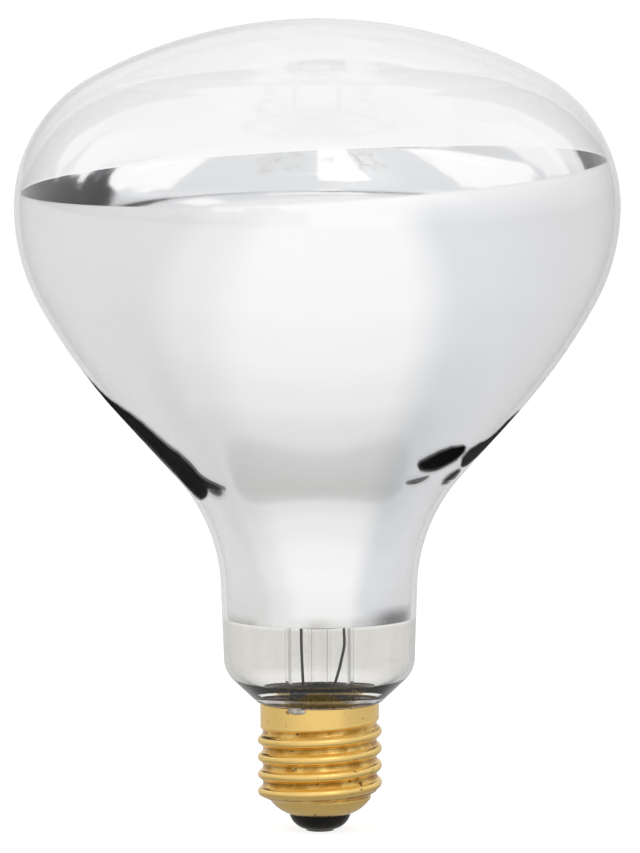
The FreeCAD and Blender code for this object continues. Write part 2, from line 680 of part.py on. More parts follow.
def make_supports():
    """The molybdenum wires from the button, each hooked once round the coil."""
    ring = size("Sizes.RingRadius")
    height = size(RING)
    wire = size("Sizes.SupportDiameter")
    hook = size("(Sizes.CoilDiameter + Sizes.SupportDiameter) / 2 + Sizes.HookClearance")
    button = size("Sizes.ButtonDiameter / 2")
    button_height = size(BUTTON)
    run = Vector(ring, 0, height - button_height)
    slope = math.degrees(math.atan2(run.z, run.x))
    touch = slope - math.degrees(math.asin(hook / run.Length))
    root = Vector(*polar((0, 0), button + size("Sizes.SeatGap"), touch), 0)
    start = Vector(root.x, 0, button_height + root.y)
    hook_at = Vector(ring, 0, height)

    def on_hook(angle):
        out, up = polar((hook_at.x, hook_at.z), hook, angle)
        return Vector(out, 0, up)

    sweep = size("Sizes.HookSweep")
    lean = start - hook_at
    first = math.degrees(math.atan2(lean.z, lean.x)) + math.degrees(math.acos(hook / lean.Length))
    arc = Part.Arc(on_hook(first), on_hook(first + sweep / 2), on_hook(first + sweep))
    path = [Part.LineSegment(start, on_hook(first)).toShape(), arc.toShape()]
    shape = swept_wire(path, wire)
    opening = size("Sizes.RingOpening")
    step = (360 - opening) / (SUPPORTS + 1)
    for number in range(1, SUPPORTS + 1):
        support = shape_piece(f"support_wire_{number}", shape)
        heading = 270 + opening / 2 + number * step
        support.Placement = Placement(Vector(0, 0, 0), Rotation(Vector(0, 0, 1), heading))


def thread_rise(turns):
    """The height of the rolled form above its root, from equal arcs that meet half way up."""
    quarter = size_of["ThreadPitch"] / 4
    depth = size_of["ThreadDepth"]
    arc = (quarter ** 2 + (depth / 2) ** 2) / depth
    off_crest = abs(turns - round(turns)) * size_of["ThreadPitch"]
    if off_crest <= quarter:
        return depth - (arc - math.sqrt(arc ** 2 - off_crest ** 2))
    off_root = 2 * quarter - off_crest
    return arc - math.sqrt(arc ** 2 - off_root ** 2)


def ease(share):
    """A smooth step from 0 to 1."""
    share = min(max(share, 0.0), 1.0)
    return share * share * (3 - 2 * share)


def shell_radius(turn, height):
    """The outside radius of collar, thread and cup at a turn from +X, in radians."""
    root = size_of["ThreadDiameter"] / 2 - size_of["ThreadDepth"]
    turns = (height - size_of["ThreadStart"]) / size_of["ThreadPitch"] - turn / (2 * math.pi)
    threaded = root + thread_rise(turns)
    run_out = size_of["ThreadRunOut"]
    collar_edge = size(COLLAR_EDGE) + size_of["CollarEdgeTilt"] * math.cos(turn)
    to_collar = ease((height - collar_edge) / run_out + 0.5)
    foot = size_of["ThreadFootHeight"] + size_of["ThreadFootTilt"] * math.cos(turn)
    to_cup = ease((foot - height) / run_out + 0.5)
    radius = threaded + (size(COLLAR_OUT) - threaded) * to_collar
    return radius + (cup_radius(size_of["CupHeight"]) - radius) * to_cup


def cup_radius(height):
    """The outside radius of the cup's arc at a height."""
    fall = size_of["CupCentreHeight"] - height
    return size(CUP_CENTRE_OUT) + math.sqrt(size_of["CupRadius"] ** 2 - fall ** 2)


def cup_angles():
    """The angles below level at which the cup's arc starts and ends at the mouth."""
    fall = size_of["CupCentreHeight"] - size_of["CupHeight"]
    reach = size_of["MouthDiameter"] / 2 - size(CUP_CENTRE_OUT)
    return math.asin(fall / size_of["CupRadius"]), math.acos(reach / size_of["CupRadius"])


def shell_outside(turn, station):
    """A point of the shell's outer face, by turn and by station from rim to mouth."""
    barrel = size_of["RimHeight"] - size_of["CupHeight"]
    steps = barrel_steps()
    if station <= steps:
        height = size_of["RimHeight"] - barrel * station / steps
        radius = shell_radius(turn, height)
    else:
        start, end = cup_angles()
        angle = start + (end - start) * (station - steps) / CUP_STATIONS
        radius = size(CUP_CENTRE_OUT) + size_of["CupRadius"] * math.cos(angle)
        height = size_of["CupCentreHeight"] - size_of["CupRadius"] * math.sin(angle)
    return Vector(radius * math.cos(turn), radius * math.sin(turn), height)


def barrel_steps():
    """How many stations the straight barrel takes."""
    barrel = size_of["RimHeight"] - size_of["CupHeight"]
    return round(STATIONS_PER_PITCH * barrel / size_of["ThreadPitch"])


def shell_inside(turn, station):
    """The point one wall inwards from the outer face, square to it."""
    nudge = 0.01
    last = barrel_steps() + CUP_STATIONS
    low = max(station - nudge, 0)
    high = min(station + nudge, last)
    down = shell_outside(turn, high) - shell_outside(turn, low)
    around = shell_outside(turn + nudge, station) - shell_outside(turn - nudge, station)
    outward = down.cross(around).normalize()
    radial = Vector(math.cos(turn), math.sin(turn), 0)
    if outward.dot(radial) < 0:
        outward = outward * -1
    return shell_outside(turn, station) - outward * size_of["ShellWall"]


def wrapped_face(point_at):
    """A smooth face through a ring of points at each station, closed on itself."""
    rows = barrel_steps() + CUP_STATIONS + 1
    step = 2 * math.pi / POINTS_ROUND
    grid = [[point_at(step * i, j) for j in range(rows)] for i in range(POINTS_ROUND)]
    grid = [[sharpen(grid[i - 1][j], grid[i][j], grid[(i + 1) % POINTS_ROUND][j])
             for j in range(rows)] for i in range(POINTS_ROUND)]
    poles = []
    for line in grid:
        inner = [sharpen(*line[j - 1:j + 2]) for j in range(1, rows - 1)]
        first = line[0] + (line[1] - line[0]) / 3
        last = line[-1] + (line[-2] - line[-1]) / 3
        poles.append([line[0], first] + inner + [last, line[-1]])
    knots_round = [float(i) for i in range(POINTS_ROUND + 1)]
    knots_along = [float(j) for j in range(rows)]
    surface = Part.BSplineSurface()
    surface.buildFromPolesMultsKnots(
        poles, [1] * (POINTS_ROUND + 1), [4] + [1] * (rows - 2) + [4],
        knots_round, knots_along, True, False, 3, 3)
    return surface.toShape()


def sharpen(before, here, after):
    """The pole that makes an even cubic spline pass by a point."""
    return here - (before + after - here * 2) / 6


def end_circle(face, lowest):
    """The closed edge at the rim or at the mouth of a wrapped face."""
    closed = [edge for edge in face.Edges if edge.isClosed()]
    closed.sort(key=lambda edge: edge.CenterOfMass.z)
    return closed[0] if lowest else closed[-1]


def make_shell():
    """The rolled brass shell: collar, E27 thread that runs out at both ends, and cup."""
    outside = wrapped_face(shell_outside)
    inside = wrapped_face(shell_inside)
    rings = [Part.makeRuledSurface(end_circle(outside, low), end_circle(inside, low))
             for low in (True, False)]
    skin = Part.Shell([outside, inside] + rings)
    skin.sewShape()
    shell = Part.Solid(skin)
    if shell.Volume < 0:
        shell.reverse()
    shape_piece("cap_shell", shell)


def make_insulator():
    """The black glass that closes the cap and carries the centre contact."""
    body = piece("cap_insulator")
    profile = Profile(body, "insulator")
    hole = size("Sizes.LeadHoleDiameter / 2")
    under = size("Sizes.ContactThickness")
    tip = size("Sizes.InsulatorTipDiameter / 2")
    mouth = size("Sizes.MouthDiameter / 2 - Sizes.SeatGap")
    bulge = size("Sizes.InsulatorBulge")
    top = size("Sizes.InsulatorTop")
    centre = (size(CUP_CENTRE_OUT), size_of["CupCentreHeight"])
    inner_radius = size("Sizes.CupRadius - Sizes.ShellWall - Sizes.SeatGap")
    reach = mouth - centre[0]
    lip = centre[1] - math.sqrt(size_of["CupRadius"] ** 2 - reach ** 2)
    low, high = Vector(tip, under, 0), Vector(mouth, lip, 0)
    middle = (low + high) / 2
    across = (high - low).normalize()
    away = math.sqrt(bulge ** 2 - (high - low).Length ** 2 / 4)
    bulge_at = middle + Vector(-across.y, across.x, 0) * away
    start = math.degrees(math.atan2(low.y - bulge_at.y, low.x - bulge_at.x))
    end = math.degrees(math.atan2(high.y - bulge_at.y, high.x - bulge_at.x))
    seat_start = math.degrees(math.atan2(lip - centre[1], reach))
    throat = polar(centre, inner_radius, seat_start)
    seat_out = centre[0] + math.sqrt(inner_radius ** 2 - (centre[1] - top) ** 2)
    seat_end = math.degrees(math.atan2(top - centre[1], seat_out - centre[0]))
    bore = profile.line((hole, top), (hole, under))
    face = profile.line((hole, under), (tip, under))
    belly = profile.arc((bulge_at.x, bulge_at.y), bulge, start, end, smooth=False)
    neck = profile.line((mouth, lip), throat)
    seat = profile.arc(centre, inner_radius, seat_start, seat_end, smooth=False)
    deck = profile.line((seat_out, top), (hole, top))
    profile.close()
    profile.rule("Vertical", bore)
    profile.rule("PointOnObject", seat, 3, neck)
    profile.rule("Horizontal", face)
    profile.rule("Horizontal", deck)
    profile.pin(face, 1, "Sizes.LeadHoleDiameter / 2", "Sizes.ContactThickness")
    profile.bind("DistanceX", "Sizes.InsulatorTipDiameter / 2", -1, 1, face, 2)
    profile.bind("Radius", "Sizes.InsulatorBulge", belly)
    profile.pin(neck, 1, "Sizes.MouthDiameter / 2 - Sizes.SeatGap",
                "Sizes.CupCentreHeight - sqrt(Sizes.CupRadius ^ 2"
                f" - (Sizes.MouthDiameter / 2 - Sizes.SeatGap - ({CUP_CENTRE_OUT})) ^ 2)")
    profile.pin(seat, 3, CUP_CENTRE_OUT, "Sizes.CupCentreHeight")
    profile.bind("Radius", "Sizes.CupRadius - Sizes.ShellWall - Sizes.SeatGap", seat)
    profile.bind("DistanceY", "Sizes.InsulatorTop", -1, 1, deck, 1)
    profile.turn()


def make_contact():
    """The centre contact: a brass washer, with the solder that fills its hole."""
    body = piece("centre_contact")
    profile = Profile(body, "contact")
    profile.polygon([
        ("Sizes.LeadHoleDiameter / 2", "0"),
        ("Sizes.ContactDiameter / 2 - Sizes.ContactEdge", "0"),
        ("Sizes.ContactDiameter / 2", "Sizes.ContactEdge"),
        ("Sizes.ContactDiameter / 2", "Sizes.ContactThickness"),
        ("Sizes.LeadHoleDiameter / 2", "Sizes.ContactThickness"),
    ])
    profile.turn()
    solder = doc.addObject("Part::Cylinder", "centre_solder")
    solder.Label = "centre_solder"
    solder.setExpression("Radius", "Sizes.LeadHoleDiameter / 2")
    solder.setExpression("Height", "Sizes.SolderHeight")
    PIECES["centre_solder"] = solder


def make_cement():
    """The brown cement between the neck and the collar, moulded round the side lead."""
    bed = doc.addObject("PartDesign::Body", "cement_bed")
    profile = Profile(bed, "cement")
    collar = f"{COLLAR_OUT} - Sizes.ShellWall - Sizes.SeatGap"
    radius = size("Sizes.TuckRadius")
    seal_out = size(SEAL_OUT)
    ledge = size(LEDGE)
    centre = (seal_out + radius, ledge - radius)
    foot = size(CEMENT_FOOT)
    rim = size("Sizes.RimHeight")
    over = size(collar + " + Sizes.CementOverRim")
    base = profile.line((seal_out, foot), (size(collar), foot))
    wall = profile.line((size(collar), foot), (size(collar), rim))
    step = profile.line((size(collar), rim), (over, rim))
    lip = profile.line((over, rim), (over, ledge))
    roof = profile.line((over, ledge), (centre[0], ledge))
    tuck = profile.arc(centre, radius, 90, 180)
    neck = profile.line((seal_out, centre[1]), (seal_out, foot), smooth=True)
    profile.close()
    profile.pin(base, 1, SEAL_OUT, CEMENT_FOOT)
    profile.pin(wall, 2, collar, RIM)
    profile.pin(lip, 2, f"{collar} + Sizes.CementOverRim", LEDGE)
    profile.rule("Horizontal", base)
    profile.rule("Vertical", wall)
    profile.rule("Horizontal", step)
    profile.rule("Vertical", lip)
    profile.rule("Horizontal", roof)
    profile.rule("Vertical", neck)
    profile.bind("Radius", "Sizes.TuckRadius", tuck)
    profile.turn()
    cement = doc.addObject("Part::Cut", "basing_cement")
    cement.Label = "basing_cement"
    cement.Base = bed
    cement.Tool = PIECES["side_lead"]
    PIECES["basing_cement"] = cement


def make_side_solder():
    """The bead that joins the side lead's end to the rim of the shell."""
    body = piece("side_solder")
    profile = Profile(body, "bead")
    inside = f"{COLLAR_OUT} - Sizes.ShellWall + Sizes.CementOverRim"
    outside = f"{COLLAR_OUT} + Sizes.SideSolderThickness"
    profile.polygon([
        (COLLAR_OUT, f"{RIM} - Sizes.SideSolderDrop"),
        (outside, f"{RIM} - Sizes.SideSolderDrop / 2"),
        (outside, RIM),
        (f"{COLLAR_OUT} + Sizes.SideSolderThickness / 2", LEDGE),
        (inside, LEDGE),
        (inside, RIM),
        (COLLAR_OUT, RIM),
    ])
    turned = profile.turn(angle=size("Sizes.SideSolderAngle"), midplane=True)
    turned.setExpression("Angle", "Sizes.SideSolderAngle")
    heading = size("Sizes.SideSolderHeading")
    body.Placement = Placement(Vector(0, 0, 0), Rotation(Vector(0, 0, 1), heading))


def check_and_write():
    """Stop on a failed object or a bad shape, then write each piece to its own file."""
    doc.recompute()
    for item in doc.Objects:
        if "Invalid" in item.State or "Error" in item.State:
            raise ValueError(f"{item.Label} failed: {item.State}")
    for label, item in PIECES.items():
        if item.Shape.isNull() or not item.Shape.isValid():
            raise ValueError(f"{label} has a bad shape")
    os.makedirs("parts", exist_ok=True)
    for label, item in PIECES.items():
        item.Shape.exportStep(f"parts/{label}.step")
        print(f"{label}: {len(item.Shape.Solids)} solid, {item.Shape.Volume:.2f} mm3")


make_envelope()
make_mirror()
make_stem()
make_exhaust_tube()
make_support_rod()
make_inner_leads()
make_outer_leads()
make_filament()
make_supports()
make_shell()
make_insulator()
make_contact()
make_cement()
make_side_solder()
check_and_write()
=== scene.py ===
"""Looks of the infrared heat lamp bulb: clear blown glass, mirrored bowl and brass screw cap."""
import math

import bmesh
import bpy
from bpy.props import FloatProperty, FloatVectorProperty, PointerProperty
from bpy.types import Operator, Panel, PropertyGroup
from mathutils import Matrix, Vector, noise


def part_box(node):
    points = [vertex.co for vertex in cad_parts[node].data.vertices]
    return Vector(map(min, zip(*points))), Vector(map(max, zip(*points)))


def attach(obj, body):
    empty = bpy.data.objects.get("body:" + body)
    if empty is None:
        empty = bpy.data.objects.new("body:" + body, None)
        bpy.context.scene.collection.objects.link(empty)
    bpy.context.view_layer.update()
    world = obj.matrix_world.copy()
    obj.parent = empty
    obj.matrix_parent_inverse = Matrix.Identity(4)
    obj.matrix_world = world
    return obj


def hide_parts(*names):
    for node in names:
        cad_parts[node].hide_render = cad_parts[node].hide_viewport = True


bl_info = {
    "name": "Heat Lamp Looks",
    "version": (1, 0, 0),
    "blender": (4, 5, 0),
    "location": "View3D > Sidebar > Heat Lamp",
    "description": "Models and finishes the pieces of a blown reflector heat lamp on its frame",
    "category": "Add Mesh",
}

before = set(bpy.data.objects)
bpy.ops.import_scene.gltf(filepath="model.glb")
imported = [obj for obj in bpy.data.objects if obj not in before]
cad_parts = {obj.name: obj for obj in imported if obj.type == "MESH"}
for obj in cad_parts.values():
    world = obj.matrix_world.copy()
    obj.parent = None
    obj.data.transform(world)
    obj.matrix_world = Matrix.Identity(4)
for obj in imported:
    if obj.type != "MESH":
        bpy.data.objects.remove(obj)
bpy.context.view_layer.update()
BODY = "root"
MM = 0.001

GLASS_LOW, GLASS_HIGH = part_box("glass_envelope")
CAP_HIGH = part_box("cap_shell")[1]
TIP_LOW, TIP_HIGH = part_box("cap_insulator")
CONTACT_LOW, CONTACT_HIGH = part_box("centre_contact")
PRESS_LOW, PRESS_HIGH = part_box("stem_flare")
TUBE_LOW, TUBE_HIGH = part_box("exhaust_tube")
ROD_LOW, ROD_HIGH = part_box("support_rod")
BEAD_LOW, BEAD_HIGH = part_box("side_solder")


def length(text, millimetres):
    """A length that a user can change."""
    return FloatProperty(description=text, default=millimetres * MM, unit="LENGTH", precision=5)


def angle(text, degrees):
    """An angle that a user can change."""
    return FloatProperty(description=text, default=math.radians(degrees), unit="ROTATION")


def colour(text, red, green, blue):
    """A colour that a user can change."""
    return FloatVectorProperty(description=text, default=(red, green, blue), subtype="COLOR",
                               size=3, min=0.0, max=1.0)


class BulbSizes(PropertyGroup):
    """The blown outline, which the glass and the mirror share."""

    bulb_radius: length("Half of the widest diameter", GLASS_HIGH.x / MM)
    crown: length("Height of the top of the front", GLASS_HIGH.z / MM)
    front_rise: length("Crown above the widest height", 39.1)
    shoulder_radius: length("Bend between front and bowl", 30.7)
    bowl_radius: length("Bend below the widest height", 42.7)
    bowl_angle: angle("How far the bowl's bend turns", 29.0)
    flank_radius: length("Slow bend of the bowl's flank", 124.0)
    flank_angle: angle("Slope where the flank runs straight", 41.8)
    throat_radius: length("Hollow bend between bowl and neck", 36.8)
    neck_radius: length("Half of the neck's diameter at its top", 20.65)
    neck_draft: angle("Taper of the neck", 2.0)
    heel_height: length("Height at which the neck ends", 36.6)
    heel_radius: length("Bend under the neck", 6.5)
    heel_angle: angle("How far the outside of the heel turns", 46.5)
    heel_inside_angle: angle("How far the inside of the heel turns", 53.0)
    ledge: length("Height of the glass that sits over the cap's rim", 27.45)
    lip_radius: length("Bend at the outer edge of the ledge", 0.8)
    tuck_radius: length("Hollow bend from the ledge into the seal", 1.1)
    seal_radius: length("Half of the seal's diameter", 10.9)
    seal_bend: length("Hollow bend inside, from the heel into the seal", 3.0)
    wall: length("Thickness of the glass", 1.1)


class MirrorSizes(PropertyGroup):
    """The metal film inside the bowl."""

    gap: length("Between the glass and the film", 0.05)
    skin: length("Thickness of the film", 0.15)
    rim_rise: length("Rim above the widest height, on the axis", 6.7)
    rim_tilt: angle("How far the rim is off level", 3.0)
    rim_heading: angle("Direction of the rim's high side", 9.5)
    foot: length("Height of the film's lower edge", 45.4)


class CapSizes(PropertyGroup):
    """The rolled shell of the screw cap."""

    wall: length("Thickness of the brass", 0.3)
    collar_radius: length("Half of the collar's diameter", 12.5)
    collar_edge: length("Height at which the thread starts", 22.75)
    collar_tilt: length("How far that edge rises to the right", 0.9)
    crest_radius: length("Half of the thread's diameter", 13.075)
    pitch: length("Rise of the thread in one turn", 3.629)
    thread_arc: length("Radius of the crests and of the grooves", 1.025)
    thread_start: length("Height of a crest on the right side", 10.2)
    foot_edge: length("Height at which the thread ends", 7.6)
    foot_tilt: length("How far that edge rises to the right", 0.55)
    run_out: length("Height over which the thread fades", 0.9)
    cup_top: length("Height at which the cup starts", 6.9)
    cup_radius: length("Radius of the cup's bend", 8.0)
    cup_out: length("Distance of that bend's centre from the axis", 4.0)
    cup_up: length("Height of that bend's centre", 11.25)
    mouth_radius: length("Half of the opening for the insulator", 6.5)
    seat_gap: length("Between the insulator and the shell", 0.03)
    tip_bulge: length("Radius of the insulator's swelling", 4.2)
    tip_radius: length("Half of the insulator's flat end", 3.0)
    hole_radius: length("Half of the hole in the contact", 1.2)
    contact_edge: length("Bevel at the contact's rim", 0.12)
    bead_heading: angle("Direction of the solder bead on the rim", 247.4)


class StemSizes(PropertyGroup):
    """The stem that carries the leads, and the filament on it."""

    tube_radius: length("Half of the stem tube's diameter", 7.25)
    tube_wall: length("Thickness of the stem tube", 1.2)
    tube_top: length("Height at which the pinch starts", 43.5)
    flare_bend: length("Bend from the tube out to the seal", 2.2)
    press_foot: length("Height at which the pinch is flat", 48.5)
    press_width: length("Width of the flat pinch", 16.0)
    press_thickness: length("Thickness of the flat pinch", 4.2)
    exhaust_wall: length("Thickness of the pumping tube", 0.8)
    rod_radius: length("Half of the glass rod's diameter", 1.7)
    button_height: length("Height of the button's centre", 70.0)
    ring_radius: length("Radius of the filament's ring", 13.0)
    ring_height: length("Height of the filament's ring", 78.0)
    ring_opening: angle("Gap between the filament's two ends", 60.0)
    coil_radius: length("Half of the coil's diameter", 0.6)
    coil_wire: length("Half of the tungsten wire's diameter", 0.085)
    coil_pitch: length("Distance from turn to turn", 0.34)


class Finishes(PropertyGroup):
    """Colours of the lamp's materials."""

    clear_glass: colour("Tint of the clear front", 0.953, 0.953, 0.954)
    front_low: colour("Tint of the front just above the mirror", 0.93, 0.93, 0.932)
    bowl_glass: colour("Tint over the mirror", 0.995, 0.995, 0.995)
    # These two are painted shade where the glass is seen edge on, darker on the neck
    neck_edge_painted_shade: colour("Tint of the neck seen edge on", 0.60, 0.605, 0.61)
    glass_edge_painted_shade: colour("Tint where it is seen edge on", 0.84, 0.845, 0.855)
    # These two are painted shade on the clear neck below the mirror, and paler painted highlight
    # streaks in it
    neck_painted_shade: colour("Smoky film on the neck below the mirror", 0.745, 0.737, 0.712)
    neck_painted_highlight: colour("Paler streaks in that film", 0.80, 0.79, 0.765)
    mirror: colour("Aluminium film", 0.975, 0.975, 0.977)
    mirror_low: colour("Thinner film towards its foot", 0.91, 0.91, 0.905)
    mirror_edge: colour("Thin, dull film at its foot", 0.60, 0.59, 0.57)
    # A painted dark reflection at the film's foot, on the right as seen from the front
    mirror_painted_dark_reflection: colour("Dark smudge at its foot", 0.20, 0.20, 0.20)
    brass: colour("Bright brass of the cap", 0.90, 0.62, 0.21)
    # Brown tarnish with painted shade in the grooves of the cap
    brass_groove_tarnish_and_shade: colour("Tarnish in the grooves of the cap", 0.42, 0.20, 0.03)
    brass_stain: colour("Brown stains on the cap", 0.12, 0.06, 0.02)
    cement: colour("Basing cement", 0.23, 0.12, 0.05)
    black_glass: colour("Insulator", 0.008, 0.008, 0.008)
    solder: colour("Tin solder", 0.62, 0.60, 0.56)
    wire: colour("Oxidised lead wire", 0.05, 0.05, 0.055)
    nickel: colour("Leads inside the bulb", 0.42, 0.40, 0.37)
    tungsten: colour("Filament", 0.20, 0.18, 0.14)


ROUND_STEPS = 192
SMALL_ROUND_STEPS = 72
ROWS_PER_PITCH = 22
PINCH_STEPS = 8
COIL_STEPS = 12
ARC_STEP = math.radians(2.0)
SHARP = math.radians(40)
TOUCHING = 2e-6


def polar(centre, radius, turn):
    """The point of the half section at a radius and an angle from a centre."""
    return (centre[0] + radius * math.cos(turn), centre[1] + radius * math.sin(turn))


class Outline:
    """A half section in the XZ plane, drawn on from its last point, then spun about Z."""

    def __init__(self, out, up):
        self.mesh = bmesh.new()
        self.tip = self.mesh.verts.new((out, 0.0, up))

    def line(self, out, up, steps=1):
        """A straight run, in equal steps."""
        goal = Vector((out, 0.0, up))
        start = self.tip.co.copy()
        if (goal - start).length < TOUCHING:
            return
        for step in range(1, steps + 1):
            made = bmesh.ops.extrude_vert_indiv(self.mesh, verts=[self.tip])
            self.tip = made["verts"][0]
            self.tip.co = start.lerp(goal, step / steps)

    def arc(self, centre, radius, start, end):
        """A straight run to the arc's start, then the arc, either way round."""
        self.line(*polar(centre, radius, start))
        steps = max(2, math.ceil(abs(end - start) / ARC_STEP))
        made = bmesh.ops.spin(self.mesh, geom=[self.tip], cent=(centre[0], 0.0, centre[1]),
                              axis=(0, -1, 0), angle=end - start, steps=steps)
        self.tip = next(v for v in made["geom_last"] if isinstance(v, bmesh.types.BMVert))

    def arcs(self, row):
        """A row of arcs from its first to its last."""
        for arc in row:
            self.arc(*arc)

    def arcs_back(self, row):
        """A row of arcs run backwards."""
        for centre, radius, start, end in reversed(row):
            self.arc(centre, radius, end, start)

    def close(self):
        """A straight run back to the first point."""
        self.mesh.verts.ensure_lookup_table()
        self.mesh.edges.new((self.tip, self.mesh.verts[0]))

    def spun(self, steps=ROUND_STEPS):
        """The whole skin, closed on itself, facing outwards."""
        skin = self.mesh
        bmesh.ops.spin(skin, geom=skin.verts[:] + skin.edges[:], cent=(0, 0, 0),
                       axis=(0, 0, 1), angle=2 * math.pi, steps=steps, use_merge=True)
        bmesh.ops.remove_doubles(skin, verts=skin.verts, dist=TOUCHING)
        bmesh.ops.recalc_face_normals(skin, faces=skin.faces)
        return skin


def add_piece(name, skin, material, slot, *nodes):
    """Put a finished skin in the scene in place of CAD nodes."""
    for face in skin.faces:
        face.smooth = True
    for edge in skin.edges:
        edge.smooth = len(edge.link_faces) == 2 and edge.calc_face_angle(0.0) < SHARP
    declare_piece(linked(name, mesh_of(name, skin)), material, slot, *nodes)


def declare_piece(piece, material, slot, *nodes):
    """Give a piece its material and its body, and hide the CAD nodes that it replaces; the slot is
    not used.
    """
    piece.data.materials.append(material)
    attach(piece, BODY)
    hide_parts(*nodes)


def mesh_of(name, skin):
    """The mesh of a skin, which is then done with."""
    mesh = bpy.data.meshes.new(name)
    skin.to_mesh(mesh)
    skin.free()
    return mesh


def linked(name, data):
    """A new object at the origin, in the scene."""
    made = bpy.data.objects.new(name, data)
    bpy.context.scene.collection.objects.link(made)
    return made


def blown_arcs(sizes, inset):
    """The arcs of the blown outline from the crown to the top of the neck, at an inset."""
    reach = sizes.bulb_radius - sizes.shoulder_radius
    rise = sizes.front_rise
    widest = sizes.crown - rise
    square = reach ** 2 + rise ** 2 - sizes.shoulder_radius ** 2
    dome_radius = square / (2 * (rise - sizes.shoulder_radius))
    dome = (0.0, sizes.crown - dome_radius)
    dome_end = math.atan2(widest - dome[1], reach)
    shoulder = (reach, widest)
    bowl = (sizes.bulb_radius - sizes.bowl_radius, widest)
    flank = polar(bowl, sizes.bowl_radius - sizes.flank_radius, -sizes.bowl_angle)
    flank_end = polar(flank, sizes.flank_radius - inset, -sizes.flank_angle)
    draft = sizes.neck_draft
    neck_out = sizes.neck_radius - inset * math.cos(draft)
    throat_radius = sizes.throat_radius + inset
    throat_out = neck_out + throat_radius * (math.cos(draft) - math.cos(sizes.flank_angle))
    fall = (flank_end[0] - throat_out) / math.tan(sizes.flank_angle)
    throat_start = (throat_out, flank_end[1] - fall)
    throat = polar(throat_start, -throat_radius, math.pi - sizes.flank_angle)
    return [
        (dome, dome_radius - inset, math.pi / 2, dome_end),
        (shoulder, sizes.shoulder_radius - inset, dome_end, 0.0),
        (bowl, sizes.bowl_radius - inset, 0.0, -sizes.bowl_angle),
        (flank, sizes.flank_radius - inset, -sizes.bowl_angle, -sizes.flank_angle),
        (throat, throat_radius, math.pi - sizes.flank_angle, math.pi - draft),
    ]


def neck_point(sizes, arcs, height):
    """The point of the tapered neck at a height."""
    centre, radius, _, turn = arcs[-1]
    top = polar(centre, radius, turn)
    return (top[0] - (top[1] - height) * math.tan(sizes.neck_draft), height)


def heel_arcs(sizes, arcs, inset, outside):
    """The arcs from the foot of the neck round the heel to the seal."""
    end = neck_point(sizes, arcs, sizes.heel_height + inset * math.sin(sizes.neck_draft))
    radius = sizes.heel_radius - inset
    heel = polar(end, -radius, -sizes.neck_draft)
    tilt = sizes.heel_angle if outside else sizes.heel_inside_angle
    heel_end = polar(heel, radius, -tilt)
    seal = sizes.seal_radius - inset
    made = [(heel, radius, -sizes.neck_draft, -tilt)]
    if outside:
        on_line = polar(heel_end, -sizes.lip_radius, -tilt)
        drop = on_line[1] - (sizes.ledge + sizes.lip_radius)
        lip = (on_line[0] - drop * math.tan(tilt), sizes.ledge + sizes.lip_radius)
        tuck = (seal + sizes.tuck_radius, sizes.ledge - sizes.tuck_radius)
        made.append((lip, sizes.lip_radius, -tilt, -math.pi / 2))
        made.append((tuck, sizes.tuck_radius, math.pi / 2, math.pi))
    else:
        bend_out = seal + sizes.seal_bend * (1 - math.cos(tilt))
        bend_up = heel_end[1] - (heel_end[0] - bend_out) / math.tan(tilt)
        bend = (seal + sizes.seal_bend, bend_up - sizes.seal_bend * math.sin(tilt))
        made.append((bend, sizes.seal_bend, math.pi - tilt, math.pi))
    return made


class LAMP_OT_envelope(Operator):
    """Blow the glass: front, bowl, neck and seal, in one closed wall"""

    bl_idname = "lamp.envelope"
    bl_label = "Glass Envelope"

    def execute(self, context):
        sizes = context.scene.lamp_bulb
        outer = blown_arcs(sizes, 0.0)
        inner = blown_arcs(sizes, sizes.wall)
        outer += heel_arcs(sizes, outer, 0.0, True)
        inner += heel_arcs(sizes, inner, sizes.wall, False)
        outline = Outline(0.0, sizes.crown)
        outline.arcs(outer)
        outline.line(sizes.seal_radius, GLASS_LOW.z)
        outline.line(sizes.seal_radius - sizes.wall, GLASS_LOW.z)
        outline.arcs_back(inner)
        add_piece("blown_glass", outline.spun(), clear_glass_material(), "clear_glass",
                  "glass_envelope")
        return {"FINISHED"}


def rim_normal(film):
    """The direction square to the plane of the film's tilted rim."""
    side = Vector((math.cos(film.rim_heading), math.sin(film.rim_heading), 0))
    return Vector((0, 0, 1)) * math.cos(film.rim_tilt) - side * math.sin(film.rim_tilt)


class LAMP_OT_mirror(Operator):
    """Line the bowl with the mirror film, cut off at its tilted rim"""

    bl_idname = "lamp.mirror"
    bl_label = "Mirror Film"

    def execute(self, context):
        sizes = context.scene.lamp_bulb
        film = context.scene.lamp_mirror
        arcs = blown_arcs(sizes, sizes.wall + film.gap)
        faces = blown_arcs(sizes, sizes.wall + film.gap + film.skin)
        outline = Outline(*polar(*arcs[1][:3]))
        outline.arcs(arcs[1:])
        outline.line(*neck_point(sizes, arcs, film.foot))
        outline.line(*neck_point(sizes, faces, film.foot))
        outline.arcs_back(faces[1:])
        outline.close()
        skin = outline.spun()
        upright = rim_normal(film)
        rim = sizes.crown - sizes.front_rise + film.rim_rise
        cut = bmesh.ops.bisect_plane(skin, geom=skin.verts[:] + skin.edges[:] + skin.faces[:],
                                     plane_co=(0, 0, rim), plane_no=upright, clear_outer=True)
        edges = [e for e in cut["geom_cut"] if isinstance(e, bmesh.types.BMEdge)]
        bmesh.ops.bridge_loops(skin, edges=edges)
        bmesh.ops.recalc_face_normals(skin, faces=skin.faces)
        add_piece("mirror_film", skin, mirror_material(), "mirror_film", "reflector_coating")
        return {"FINISHED"}


def ease(amount):
    """A smooth step from 0 to 1."""
    amount = min(max(amount, 0.0), 1.0)
    return amount * amount * (3 - 2 * amount)


def thread_depth(sizes):
    """How far a crest stands above its groove."""
    return 2 * (sizes.thread_arc - math.sqrt(sizes.thread_arc ** 2 - (sizes.pitch / 4) ** 2))


